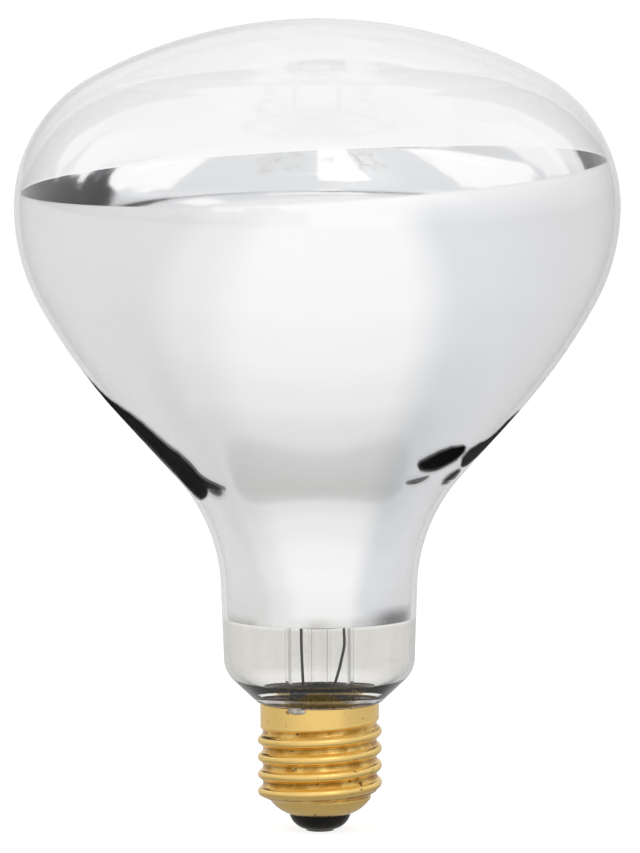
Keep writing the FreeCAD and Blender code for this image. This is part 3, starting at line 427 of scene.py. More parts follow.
def thread_rise(sizes, turns):
    """The rolled form above its groove, from equal arcs that meet half way up."""
    off_crest = abs(turns - round(turns)) * sizes.pitch
    if off_crest <= sizes.pitch / 4:
        fall = sizes.thread_arc - math.sqrt(sizes.thread_arc ** 2 - off_crest ** 2)
        return thread_depth(sizes) - fall
    off_groove = sizes.pitch / 2 - off_crest
    return sizes.thread_arc - math.sqrt(sizes.thread_arc ** 2 - off_groove ** 2)


def cup_width(sizes, height):
    """The outside radius of the cup's bend at a height."""
    return sizes.cup_out + math.sqrt(sizes.cup_radius ** 2 - (sizes.cup_up - height) ** 2)


def shell_radius(sizes, turn, height):
    """The outside radius of collar, thread and cup, by turn from +X."""
    turns = (height - sizes.thread_start) / sizes.pitch - turn / (2 * math.pi)
    radius = sizes.crest_radius - thread_depth(sizes) + thread_rise(sizes, turns)
    collar_edge = sizes.collar_edge + sizes.collar_tilt * math.cos(turn)
    to_collar = ease((height - collar_edge) / sizes.run_out + 0.5)
    radius += (sizes.collar_radius - radius) * to_collar
    foot = sizes.foot_edge + sizes.foot_tilt * math.cos(turn)
    to_cup = ease((foot - height) / sizes.run_out + 0.5)
    return radius + (cup_width(sizes, sizes.cup_top) - radius) * to_cup


class LAMP_OT_cap_shell(Operator):
    """Roll the brass shell: collar, screw thread that runs out at both ends, and cup"""

    bl_idname = "lamp.cap_shell"
    bl_label = "Cap Shell"

    def execute(self, context):
        sizes = context.scene.lamp_cap
        barrel = CAP_HIGH.z - sizes.cup_top
        rows = round(ROWS_PER_PITCH * barrel / sizes.pitch)
        outline = Outline(sizes.collar_radius, CAP_HIGH.z)
        outline.line(sizes.collar_radius, sizes.cup_top, rows)
        start = math.asin((sizes.cup_up - sizes.cup_top) / sizes.cup_radius)
        end = math.acos((sizes.mouth_radius - sizes.cup_out) / sizes.cup_radius)
        outline.arc((sizes.cup_out, sizes.cup_up), sizes.cup_radius, -start, -end)
        skin = outline.spun()
        for vert in skin.verts:
            if vert.co.z > sizes.cup_top - TOUCHING:
                turn = math.atan2(vert.co.y, vert.co.x)
                vert.co.xy *= shell_radius(sizes, turn, vert.co.z) / vert.co.xy.length
        bmesh.ops.remove_doubles(skin, verts=skin.verts, dist=TOUCHING)
        bmesh.ops.recalc_face_normals(skin, faces=skin.faces)
        bmesh.ops.solidify(skin, geom=skin.faces[:], thickness=sizes.wall)
        add_piece("rolled_cap_shell", skin, brass_material(), "brass", "cap_shell")
        return {"FINISHED"}


class LAMP_OT_cap_tip(Operator):
    """Press the black glass insulator and the contact on its flat end"""

    bl_idname = "lamp.cap_tip"
    bl_label = "Cap Tip"

    def execute(self, context):
        sizes = context.scene.lamp_cap
        cup = (sizes.cup_out, sizes.cup_up)
        inner = sizes.cup_radius - sizes.wall - sizes.seat_gap
        mouth = sizes.mouth_radius - sizes.seat_gap
        reach = mouth - cup[0]
        lip = cup[1] - math.sqrt(sizes.cup_radius ** 2 - reach ** 2)
        low = Vector((sizes.tip_radius, TIP_LOW.z))
        high = Vector((mouth, lip))
        across = (high - low).normalized()
        away = math.sqrt(sizes.tip_bulge ** 2 - (high - low).length_squared / 4)
        bulge = (low + high) / 2 + Vector((-across.y, across.x)) * away
        start = math.atan2(low.y - bulge.y, low.x - bulge.x)
        end = math.atan2(high.y - bulge.y, high.x - bulge.x)
        seat_start = math.atan2(lip - cup[1], reach)
        seat_out = cup[0] + math.sqrt(inner ** 2 - (cup[1] - TIP_HIGH.z) ** 2)
        seat_end = math.atan2(TIP_HIGH.z - cup[1], seat_out - cup[0])
        outline = Outline(sizes.hole_radius, TIP_HIGH.z)
        outline.line(sizes.hole_radius, TIP_LOW.z)
        outline.arc(bulge, sizes.tip_bulge, start, end)
        outline.arc(cup, inner, seat_start, seat_end)
        outline.close()
        add_piece("black_glass_tip", outline.spun(), black_glass_material(), "black_glass",
                  "cap_insulator")
        edge = sizes.contact_edge
        rim = CONTACT_HIGH.x
        contact = Outline(sizes.hole_radius, CONTACT_HIGH.z)
        contact.line(sizes.hole_radius, CONTACT_LOW.z)
        contact.arc((rim - edge, CONTACT_LOW.z + edge), edge, -math.pi / 2, 0.0)
        contact.line(rim, CONTACT_HIGH.z)
        contact.close()
        add_piece("contact_disc", contact.spun(SMALL_ROUND_STEPS), contact_material(),
                  "dull_contact", "centre_contact")
        return {"FINISHED"}


class LAMP_OT_stem(Operator):
    """Draw the glass stem: flare, pinch, pumping tube, and the rod with its button"""

    bl_idname = "lamp.stem"
    bl_label = "Glass Stem"

    def execute(self, context):
        sizes = context.scene.lamp_stem
        glass = stem_glass_material()
        tube = sizes.tube_radius
        wall = sizes.tube_wall
        bend = sizes.flare_bend
        foot = PRESS_LOW.z
        centre = (tube + bend, foot + wall + bend)
        outline = Outline(0.0, PRESS_HIGH.z)
        outline.line(tube, PRESS_HIGH.z)
        outline.line(tube, sizes.press_foot, 2)
        outline.line(tube, sizes.tube_top, PINCH_STEPS)
        outline.arc(centre, bend, math.pi, 3 * math.pi / 2)
        outline.line(PRESS_HIGH.x, foot + wall)
        outline.line(PRESS_HIGH.x, foot)
        outline.arc(centre, bend + wall, 3 * math.pi / 2, math.pi)
        outline.line(tube - wall, sizes.tube_top)
        outline.line(0.0, sizes.tube_top)
        skin = outline.spun(SMALL_ROUND_STEPS)
        self.pinch(skin, sizes)
        add_piece("stem_glass", skin, glass, "stem_glass", "stem_flare")

        out = TUBE_HIGH.x
        inner = out - sizes.exhaust_wall
        tip = (0.0, TUBE_LOW.z + out)
        outline = Outline(out, TUBE_HIGH.z)
        outline.arc(tip, out, 0.0, -math.pi / 2)
        outline.arc(tip, inner, -math.pi / 2, 0.0)
        outline.line(inner, TUBE_HIGH.z)
        outline.close()
        add_piece("pumping_tube", outline.spun(SMALL_ROUND_STEPS), glass, "stem_glass",
                  "exhaust_tube")

        button = ROD_HIGH.x
        meeting = math.acos(sizes.rod_radius / button)
        outline = Outline(0.0, ROD_LOW.z)
        outline.line(sizes.rod_radius, ROD_LOW.z)
        outline.arc((0.0, sizes.button_height), button, -meeting, math.pi / 2)
        add_piece("rod_and_button", outline.spun(SMALL_ROUND_STEPS), glass, "stem_glass",
                  "support_rod")
        return {"FINISHED"}

    @staticmethod
    def pinch(skin, sizes):
        """Press the top of the tube into the flat pinch with round ends."""
        half_thick = sizes.press_thickness / 2
        flat = sizes.press_width / 2 - half_thick
        for vert in skin.verts:
            if vert.co.z < sizes.tube_top + TOUCHING or vert.co.xy.length < TOUCHING:
                continue
            rise = (vert.co.z - sizes.tube_top) / (sizes.press_foot - sizes.tube_top)
            along = vert.co.xy.normalized()
            side = 1 if along.x > TOUCHING else -1 if along.x < -TOUCHING else 0
            slot = Vector((side * flat + half_thick * along.x, half_thick * along.y))
            vert.co.xy = vert.co.xy.lerp(slot, ease(rise))


class LAMP_OT_filament(Operator):
    """Wind the filament's coil round its open ring"""

    bl_idname = "lamp.filament"
    bl_label = "Filament"

    def execute(self, context):
        sizes = context.scene.lamp_stem
        span = 2 * math.pi - sizes.ring_opening
        turns = round(sizes.ring_radius * span / sizes.coil_pitch)
        winding = sizes.coil_radius - sizes.coil_wire
        first = 3 * math.pi / 2 + sizes.ring_opening / 2
        curve = bpy.data.curves.new("coiled_filament", "CURVE")
        curve.dimensions = "3D"
        curve.bevel_depth = sizes.coil_wire
        curve.bevel_resolution = 1
        wire = curve.splines.new("POLY")
        count = turns * COIL_STEPS + 1
        wire.points.add(count - 1)
        for step, point in enumerate(wire.points):
            heading = first + span * step / (count - 1)
            wind = 2 * math.pi * step / COIL_STEPS
            out = sizes.ring_radius + winding * math.cos(wind)
            up = sizes.ring_height + winding * math.sin(wind)
            point.co = (out * math.cos(heading), out * math.sin(heading), up, 1.0)
        declare_piece(linked("coiled_filament", curve),
                      wire_material("tungsten_coil", "tungsten", 0.35), "tungsten", "filament")
        return {"FINISHED"}


BEAD_THICK = 0.42 * MM
BEAD_WIDE = 2.1 * MM
BEAD_GRAIN = 0.6 * MM
BEAD_ROUGH = 0.08 * MM


class LAMP_OT_solder(Operator):
    """Melt the bead of solder on the cap's rim"""

    bl_idname = "lamp.solder"
    bl_label = "Rim Solder"

    def execute(self, context):
        sizes = context.scene.lamp_cap
        middle = (BEAD_LOW + BEAD_HIGH) / 2
        tall = (BEAD_HIGH.z - BEAD_LOW.z) / 2
        skin = bmesh.new()
        bmesh.ops.create_icosphere(skin, subdivisions=4, radius=1.0)
        bmesh.ops.scale(skin, vec=(BEAD_THICK, BEAD_WIDE, tall), verts=skin.verts)
        for vert in skin.verts:
            swell = noise.noise(vert.co / BEAD_GRAIN) * BEAD_ROUGH
            vert.co += vert.co.normalized() * swell
        bmesh.ops.rotate(skin, cent=(0, 0, 0), verts=skin.verts,
                         matrix=Matrix.Rotation(sizes.bead_heading, 3, "Z"))
        bmesh.ops.translate(skin, vec=middle, verts=skin.verts)
        add_piece("rim_solder", skin, solder_material("rim_solder"), "solder", "side_solder")
        return {"FINISHED"}


class LAMP_OT_finish_frame(Operator):
    """Give the wires, the cement and the contact's solder their finish"""

    bl_idname = "lamp.finish_frame"
    bl_label = "Wires and Cement"

    def execute(self, context):
        supports = [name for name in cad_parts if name.startswith("support_wire")]
        finishes = {
            wire_material("lead_wire", "wire", 0.4): ["side_lead", "centre_lead"],
            wire_material("nickel_lead", "nickel", 0.3): ["inner_lead_left", "inner_lead_right"],
            wire_material("support_wire", "tungsten", 0.3): supports,
            cement_material(): ["basing_cement"],
            solder_material("contact_solder"): ["centre_solder"],
        }
        for material, names in finishes.items():
            for name in names:
                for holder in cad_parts[name].material_slots:
                    holder.material = material
        return {"FINISHED"}


def node_material(name, **values):
    """A new material, its tree, and its Principled shader with plain values."""
    material = bpy.data.materials.new(name)
    material.use_nodes = True
    tree = material.node_tree
    return material, tree, fill(tree, tree.nodes["Principled BSDF"], **values)


def add_node(tree, kind, *values, **settings):
    """A node with its settings, its first sockets filled in order."""
    made = tree.nodes.new(kind)
    for name, value in settings.items():
        setattr(made, name, value)
    for socket, value in zip(made.inputs, values):
        feed(tree, socket, value)
    return made


def fill(tree, node, **values):
    """A node's named sockets filled, with a low line for each space in a name."""
    for name, value in values.items():
        feed(tree, node.inputs[name.replace("_", " ")], value)
    return node


def feed(tree, socket, value):
    """Link an output to a socket, or set the socket's own value."""
    if isinstance(value, bpy.types.NodeSocket):
        tree.links.new(value, socket)
    elif socket.type == "RGBA":
        socket.default_value = (*value, 1.0)
    else:
        socket.default_value = value


def calc(tree, operation, *values):
    """The result of one sum on sockets and numbers."""
    return add_node(tree, "ShaderNodeMath", *values, operation=operation).outputs[0]


def multiplied(tree, first, second):
    """Two masks multiplied."""
    return calc(tree, "MULTIPLY", first, second)


def own_place(tree):
    """The Object coordinates."""
    return add_node(tree, "ShaderNodeTexCoord").outputs["Object"]


def new_group(name, inputs, outputs):
    """A node group with named sockets, and its input and output nodes."""
    tree = bpy.data.node_groups.new(name, "ShaderNodeTree")
    for label, kind, default in inputs:
        made = tree.interface.new_socket(name=label, in_out="INPUT", socket_type=kind)
        made.default_value = default
    for label in outputs:
        tree.interface.new_socket(name=label, in_out="OUTPUT", socket_type="NodeSocketFloat")
    return tree, tree.nodes.new("NodeGroupInput"), tree.nodes.new("NodeGroupOutput")


def mottle_group():
    """Cloudy variation of a finish: a mask between two levels of noise, and its height."""
    name = "mottle"
    if name in bpy.data.node_groups:
        return bpy.data.node_groups[name]
    tree, given, result = new_group(
        name,
        [("Scale", "NodeSocketFloat", 200.0), ("Detail", "NodeSocketFloat", 4.0),
         ("Low", "NodeSocketFloat", 0.4), ("High", "NodeSocketFloat", 0.7),
         ("Stretch", "NodeSocketVector", (1.0, 1.0, 1.0))],
        ["Mask", "Height"])
    asked = given.outputs
    place = add_node(tree, "ShaderNodeVectorMath", own_place(tree), asked["Stretch"],
                     operation="MULTIPLY")
    cloud = fill(tree, add_node(tree, "ShaderNodeTexNoise"), Vector=place.outputs[0],
                 Scale=asked["Scale"], Detail=asked["Detail"]).outputs["Fac"]
    levels = add_node(tree, "ShaderNodeMapRange", cloud, asked["Low"], asked["High"])
    fill(tree, result, Mask=levels.outputs["Result"], Height=cloud)
    return tree


def axis_group():
    """Where a point lies on the lamp: its distance from the axis and its height."""
    name = "from_axis"
    if name in bpy.data.node_groups:
        return bpy.data.node_groups[name]
    tree, _, result = new_group(name, [], ["Radius", "Height"])
    place = own_place(tree)
    flat = add_node(tree, "ShaderNodeVectorMath", place, (1.0, 1.0, 0.0), operation="MULTIPLY")
    radius = add_node(tree, "ShaderNodeVectorMath", flat.outputs[0], operation="LENGTH")
    parts = add_node(tree, "ShaderNodeSeparateXYZ", place)
    fill(tree, result, Radius=radius.outputs["Value"], Height=parts.outputs["Z"])
    return tree


def from_axis(tree):
    """The distance from the axis and the height of a point of the lamp."""
    made = add_node(tree, "ShaderNodeGroup", node_tree=axis_group())
    return made.outputs["Radius"], made.outputs["Height"]


def mottle(tree, scale, low, high, detail=4.0, stretch=(1.0, 1.0, 1.0)):
    """The mask and the height of a mottle group with its values."""
    made = add_node(tree, "ShaderNodeGroup", node_tree=mottle_group())
    fill(tree, made, Scale=scale, Detail=detail, Low=low, High=high, Stretch=stretch)
    return made.outputs["Mask"], made.outputs["Height"]


def blend_colours(tree, mask, first, second):
    """A mix of two colours, each a socket or a plain colour, by a mask."""
    made = add_node(tree, "ShaderNodeMix", data_type="RGBA")
    return fill(tree, made, Factor=mask, A=first, B=second).outputs["Result"]


def spread(tree, value, low, high, to_low=0.0, to_high=1.0):
    """A value carried smoothly from one range to another."""
    made = add_node(tree, "ShaderNodeMapRange", value, low, high, to_low, to_high,
                    interpolation_type="SMOOTHSTEP")
    return made.outputs["Result"]


def bump(tree, height, strength, distance):
    """The normal of a bumped skin."""
    made = add_node(tree, "ShaderNodeBump")
    fill(tree, made, Strength=strength, Distance=distance, Height=height)
    return made.outputs["Normal"]


def edge_on(tree, from_share):
    """A mask of the skin that is seen edge on."""
    facing = fill(tree, add_node(tree, "ShaderNodeLayerWeight"), Blend=0.5).outputs["Facing"]
    return spread(tree, facing, from_share, 1.0)


# Where the glass changes its tint: across the mirror's rim, up the front, in the heel, along the
# upper end of the neck's painted shade, and where the painted shade seen edge on goes from the
# neck's tint to the bulb's
RIM_SOFT = 0.6 * MM
FRONT_FADE = (12.0 * MM, 22.0 * MM)
HEEL_FADE = (29.5 * MM, 33.0 * MM)
NECK_SHADE_FADE = (-1.0 * MM, 0.5 * MM)
EDGE_FADE = (58.0 * MM, 92.0 * MM)
# Heights over the mirror's foot: worn film, thinner film and painted dark reflection; headings of
# the painted dark reflection
WORN_FADE = (0.0, 3.0 * MM)
THIN_FADE = (2.0 * MM, 13.0 * MM)
DARK_REFLECTION_FADE = (1.0 * MM, 4.5 * MM)
DARK_REFLECTION_HEADINGS = (38.0, 74.0)
DARK_REFLECTION_SOFT = 14.0


def below(tree, height, fade, level=0.0):
    """A mask of what lies under a level, over a range of heights."""
    return spread(tree, height, level + fade[0], level + fade[1], 1.0, 0.0)


def clear_glass_material():
    """Blown glass: a clear front, painted grey shade where it is seen edge on, and painted shade
    with painted highlight streaks on the neck.
    """
    finishes = bpy.context.scene.lamp_finishes
    sizes = bpy.context.scene.lamp_bulb
    film = bpy.context.scene.lamp_mirror
    material, tree, shader = node_material("blown_clear_glass", Metallic=0.0, Roughness=0.0,
                                           IOR=1.5, Transmission_Weight=1.0)
    _, height = from_axis(tree)
    upright = rim_normal(film)
    rim = (sizes.crown - sizes.front_rise + film.rim_rise) * upright.z
    tilted = add_node(tree, "ShaderNodeVectorMath", own_place(tree), upright,
                      operation="DOT_PRODUCT").outputs["Value"]
    front = spread(tree, tilted, rim - RIM_SOFT, rim + RIM_SOFT)
    high = spread(tree, height, rim + FRONT_FADE[0], rim + FRONT_FADE[1])
    dome = blend_colours(tree, high, finishes.front_low, finishes.clear_glass)
    tint = blend_colours(tree, front, finishes.bowl_glass, dome)
    # Painted highlight streaks in painted shade on the neck below the mirror
    highlight_streaks, _ = mottle(tree, 350.0, 0.25, 0.75, detail=2.0, stretch=(1.0, 1.0, 0.12))
    neck_shade_and_highlights = blend_colours(tree, highlight_streaks, finishes.neck_painted_shade, finishes.neck_painted_highlight)
    neck_shade_and_highlights = blend_colours(tree, below(tree, height, HEEL_FADE), neck_shade_and_highlights, finishes.clear_glass)
    tint = blend_colours(tree, below(tree, height, NECK_SHADE_FADE, film.foot), tint, neck_shade_and_highlights)
    # Painted shade where the glass is seen edge on, darker on the neck than on the bulb
    wide = spread(tree, height, *EDGE_FADE)
    edge = blend_colours(tree, wide, finishes.neck_edge_painted_shade, finishes.glass_edge_painted_shade)
    fill(tree, shader, Base_Color=blend_colours(tree, edge_on(tree, 0.96), tint, edge))
    return material


def stem_glass_material():
    """Lead glass of the stem, faintly grey, with painted shade where it is seen edge on."""
    name = "stem_lead_glass"
    if name in bpy.data.materials:
        return bpy.data.materials[name]
    finishes = bpy.context.scene.lamp_finishes
    material, tree, shader = node_material(name, Metallic=0.0, Roughness=0.02, IOR=1.10,
                                           Transmission_Weight=1.0)
    # Painted shade where the stem is seen edge on
    tint = blend_colours(tree, edge_on(tree, 0.7), finishes.bowl_glass, finishes.clear_glass)
    fill(tree, shader, Base_Color=tint)
    return material


def mirror_material():
    """Aluminium film: bright, a little uneven, and dull where it thins out at its foot, with a
    painted dark reflection there on the right as seen from the front.
    """
    finishes = bpy.context.scene.lamp_finishes
    foot = bpy.context.scene.lamp_mirror.foot
    material, tree, shader = node_material("aluminium_film", Metallic=1.0)
    _, height = from_axis(tree)
    patches, _ = mottle(tree, 90.0, 0.40, 0.62, detail=3.0)
    worn = multiplied(tree, below(tree, height, WORN_FADE, foot), patches)
    # Painted dark reflection at the film's foot, on the right as seen from the front
    dark_reflection = multiplied(
        tree, window(tree, heading_of(tree, own_place(tree)), DARK_REFLECTION_HEADINGS, DARK_REFLECTION_SOFT),
        below(tree, height, DARK_REFLECTION_FADE, foot))
    tint = blend_colours(tree, below(tree, height, THIN_FADE, foot), finishes.mirror,
                         finishes.mirror_low)
    tint = blend_colours(tree, worn, tint, finishes.mirror_edge)
    tint = blend_colours(tree, dark_reflection, tint, finishes.mirror_painted_dark_reflection)
    clouds, _ = mottle(tree, 45.0, 0.3, 0.8, detail=2.0)
    fill(tree, shader, Base_Color=tint, Roughness=spread(tree, clouds, 0.0, 1.0, 0.04, 0.09))
    return material


def brass_material():
    """Brass: bright, with a thin brown line of tarnish and painted shade in each groove, and a few
    small dark spots.
    """
    finishes = bpy.context.scene.lamp_finishes
    sizes = bpy.context.scene.lamp_cap
    material, tree, shader = node_material("rolled_brass", Metallic=1.0)
    radius, height = from_axis(tree)
    root = sizes.crest_radius - thread_depth(sizes)
    # Brown tarnish with painted shade in the thread's grooves
    groove = below(tree, radius, (0.05 * MM, 0.45 * MM), root)
    under_collar = below(tree, height, (-0.5 * MM, 0.5 * MM), sizes.collar_edge)
    over_cup = spread(tree, height, sizes.foot_edge - 0.6 * MM, sizes.foot_edge + 0.2 * MM)
    groove_tarnish_and_shade = multiplied(tree, multiplied(tree, groove, under_collar), over_cup)
    worn, _ = mottle(tree, 300.0, 0.25, 0.60, detail=3.0)
    tint = blend_colours(tree, multiplied(tree, groove_tarnish_and_shade, worn), finishes.brass,
                         finishes.brass_groove_tarnish_and_shade)
    spots, _ = mottle(tree, 520.0, 0.69, 0.74, detail=2.0, stretch=(1.0, 1.0, 1.6))
    clouds, grain = mottle(tree, 400.0, 0.3, 0.7, detail=5.0)
    fill(tree, shader, Base_Color=blend_colours(tree, spots, tint, finishes.brass_stain),
         Roughness=spread(tree, clouds, 0.0, 1.0, 0.20, 0.32),
         Normal=bump(tree, grain, 0.12, 0.05 * MM))
    return material


def cloudy_material(name, tints, rough, scale, levels=(0.35, 0.65), detail=4.0, bumps=None,
                    **values):
    """A finish that drifts between two tints and two roughnesses in one cloudy pattern."""
    material, tree, shader = node_material(name, **values)
    clouds, grain = mottle(tree, scale, *levels, detail)
    fill(tree, shader, Base_Color=blend_colours(tree, clouds, *tints),
         Roughness=spread(tree, clouds, 0.0, 1.0, *rough))
    if bumps:
        fill(tree, shader, Normal=bump(tree, grain, *bumps))
    return material


def black_glass_material():
    """Black glass with a fine, glossy skin."""
    tints = (bpy.context.scene.lamp_finishes.black_glass, (0.02, 0.018, 0.016))
    return cloudy_material("black_insulator_glass", tints, (0.08, 0.2), 300.0, (0.3, 0.7),
                           bumps=(0.1, 0.1 * MM), Metallic=0.0, IOR=1.55, Specular_IOR_Level=0.12)


def contact_material():
    """Dull, dark contact."""
    return cloudy_material("dull_contact", ((0.10, 0.09, 0.08), (0.24, 0.20, 0.15)),
                           (0.35, 0.55), 500.0, Metallic=1.0)


def solder_material(name):
    """Grey tin solder."""
    tints = (bpy.context.scene.lamp_finishes.solder, (0.40, 0.37, 0.33))
    return cloudy_material(name, tints, (0.2, 0.4), 700.0, bumps=(0.4, 0.1 * MM), Metallic=1.0)


def cement_material():
    """Brown, grainy basing cement."""
    tints = (bpy.context.scene.lamp_finishes.cement, (0.42, 0.25, 0.12))
    return cloudy_material("basing_cement", tints, (0.75, 0.95), 900.0, detail=8.0,
                           bumps=(0.6, 0.2 * MM), Metallic=0.0)


# How much darker and rougher a wire is under its oxide
OXIDE_SHADE = 0.6
OXIDE_ROUGH = 0.15


def wire_material(name, finish, roughness):
    """Drawn wire with a thin, uneven oxide."""
    bright = getattr(bpy.context.scene.lamp_finishes, finish)
    return cloudy_material(name, (bright, [part * OXIDE_SHADE for part in bright]),
                           (roughness, roughness + OXIDE_ROUGH), 1500.0, Metallic=1.0)


def heading_of(tree, vector):
    """The heading of a place or direction in degrees, from the viewer's side to the right."""
    parts = add_node(tree, "ShaderNodeSeparateXYZ", vector).outputs
    forward = calc(tree, "MULTIPLY", parts["Y"], -1.0)
    return calc(tree, "DEGREES", calc(tree, "ARCTAN2", parts["X"], forward))


def height_of(tree, vector):
    """The height of a direction above level, in degrees."""
    parts = add_node(tree, "ShaderNodeSeparateXYZ", vector).outputs
    return calc(tree, "DEGREES", calc(tree, "ARCSINE", parts["Z"]))


def window(tree, value, ends, soft):
    """A mask that is on between two values, with soft edges."""
    low, high = ends
    return multiplied(tree, spread(tree, value, low - soft, low + soft),
                      spread(tree, value, high - soft, high + soft, 1.0, 0.0))


def patch(tree, heading, height, ends, soft_across, soft_up):
    """A mask that is on between two headings and between two heights."""
    across, up = ends
    return multiplied(tree, window(tree, heading, across, soft_across),
                      window(tree, height, up, soft_up))


CAMERA_DISTANCE = 2.0
CAMERA_HEIGHT = 0.310
CAMERA_PITCH = math.radians(6.404)
CAMERA_ROLL = math.radians(-0.27)
CAMERA_SIDE = 0.36 * MM
CAMERA_LENS = 405.0
CAMERA_REACH = 50.0
FLOOR_HALF = 15.0
AIM = Vector((0, 0, 0.08))
WHITE = (1.0, 1.0, 1.0)

# Area lights, which nothing mirrors: name, place, side and power
SOFT_LIGHTS = (
    ("left_softbox", (-1.3, -1.0, 1.0), 0.9, 6.0),
    ("right_softbox", (1.2, -1.3, 0.8), 0.9, 5.0),
    ("top_softbox", (0.0, 0.3, 1.8), 1.2, 5.0),
)
# Dark cards beside the lamp, mirrored in its lower flank, in millimetres: an oval one by its
# centre, half sizes, heading in degrees and tone, and outlined ones by name, tone and corners
CARD_HEIGHT = 60.0
OVAL_CARD = ((31.6, -12.0), (6.4, 0.75), 52.7, 0.02)
OVAL_STEPS = 48
OUTLINED_CARDS = (
    ("left_card", 0.014, (
        (-60, 200), (-76, 200), (-75, 130), (-71.9, 95.3), (-68.9, 60.1), (-64.7, 38.5),
        (-59.7, 25.9), (-55.9, 19.1), (-52.5, 13.6), (-49.9, 9.6), (-46.3, 3.4), (-41.7, -1.3),
        (-38, -2.9), (-35.5, -5.8), (-32.2, -10.1), (-29, -13.4), (-30.3, -11), (-34.5, -1.5),
        (-35.5, 7), (-36.2, 20), (-38, 45), (-44, 70), (-50, 100))),
    ("right_oval", 0.004, (
        (32.5, -17.6), (33.4, -18.3), (36.6, -15.8), (40.9, -11.5), (44.9, -5.3), (48.3, 3.9),
        (49.1, 10.1), (47.7, 12.8), (44.6, 9.1), (41.3, 2.1), (37.7, -4.7), (34.7, -10.8),
        (33.0, -14.6))),
    ("right_card", 0.03, (
        (44.3, 21.6), (46.2, 13.3), (49.5, 16.4), (52.6, 27.9), (54.8, 48.2), (57.1, 61.6),
        (60.3, 75), (62, 110), (60, 150), (52, 150), (49, 100), (46, 65), (44.5, 45), (44, 30))),
    ("right_spot", 0.05, (
        (37.3, 8.7), (38.7, 8.4), (40.9, 11.4), (43.0, 19.0), (43.7, 27.1), (42.3, 34.1),
        (40.2, 32.3), (38.6, 19.2), (37.9, 12.6))),
)
# A painted studio reflection, seen only in mirrors: tones by heading in degrees from the viewer's
# side towards the right, seen from a point near the lamp
ROUND_CENTRE = (-0.015, 0.066, 0.0)
PAINTED_STUDIO_TONES = (
    (-180.0, (0.95, 0.95, 0.95)),
    (-150.0, (0.74, 0.74, 0.74)),
    (-57.0, (0.765, 0.765, 0.76)),
    (-36.0, (0.875, 0.875, 0.873)),
    (-12.0, (1.0, 1.0, 1.0)),
    (27.0, (1.0, 1.0, 1.0)),
    (48.0, (0.775, 0.785, 0.81)),
    (112.0, (0.715, 0.715, 0.725)),
    (155.0, (0.67, 0.67, 0.68)),
    (180.0, (0.95, 0.95, 0.95)),
)
# Painted shadow of the lamp on the floor, seen only in the mirror: tones by distance from the lamp
# in metres, in rings that are wide from side to side
PAINTED_SHADOW_SHAPE = (0.62, 1.0, 0.0)
PAINTED_SHADOW_TONES = (
    (0.024, (0.47, 0.47, 0.455)),
    (0.031, (0.555, 0.555, 0.545)),
    (0.036, (0.60, 0.60, 0.595)),
    (0.041, (0.76, 0.76, 0.755)),
    (0.058, (0.85, 0.85, 0.848)),
    (0.091, (0.93, 0.93, 0.93)),
    (0.163, (0.97, 0.97, 0.97)),
    (0.400, (0.99, 0.99, 0.99)),
)
# The floor's glow where it is seen, and how matt it is there and to the light
FLOOR_GLOW = 0.80
FLOOR_SEEN = 0.45
FLOOR_LIGHT = 0.8
# The world: its light on the lamp, its strength in the mirror, and its tone from this height up
WORLD_LIGHT = 0.6
FAR_TONE = 1.02
SKY_HEIGHTS = (-4.0, 30.0)
SKY_TONE = (0.95, 0.95, 0.95)
# Painted highlights that only mirrors see, a bright window for the brass and its middle: headings
# and heights, softness, tone
BRASS_PAINTED_HIGHLIGHTS = (
    (((-34.0, 52.0), (26.0, 66.0)), 14.0, (1.15, 1.15, 1.15)),
    (((6.0, 34.0), (28.0, 56.0)), 8.0, (2.0, 2.0, 2.0)),
)
# A painted reflection that the bowl shows after two bounces and more, by headings and heights in
# degrees: bright windows, fine lines, and dark shards at its left end
BOWL_TONE = (0.96, 0.97, 0.98)
WINDOW_SOFT = (2.0, 1.5)
BOWL_WINDOWS = (
    ((-62.0, 62.0), (11.0, 41.0)),
    ((136.0, 179.0), (27.0, 57.0)),
)
WINDOW_TONE = (1.3, 1.3, 1.3)
LINE_SOFT = (2.0, 1.0)
BOWL_LINES = (
    ((-170.0, -100.0), (49.5, 58.0)),
    ((108.0, 142.0), (48.0, 56.0)),
)
LINE_TONE = (0.34, 0.32, 0.26)
LINE_WIDTH = (0.012, 0.03)
LINE_SCALE = 9.0
DARK_SOFT = (3.0, 1.0)
BOWL_DARK = ((-179.0, -4.0), (-12.0, 12.0))
DARK_TONES = ((0.006, 0.006, 0.008), (0.20, 0.21, 0.23))
DARK_BOUNCE = 2.5
SHARD_SCALE = 7.0
DEEP_HEADINGS = (4.0, 178.0)
DEEP_SOFT = 2.0
DEEP_TONE = (1.9, 1.9, 1.92)
DEEP_BOUNCE = 4.5
# How far the bowl's headings and heights waver, in degrees, and the waver's scale
WAVER = 3.0
WAVER_SCALE = 4.0


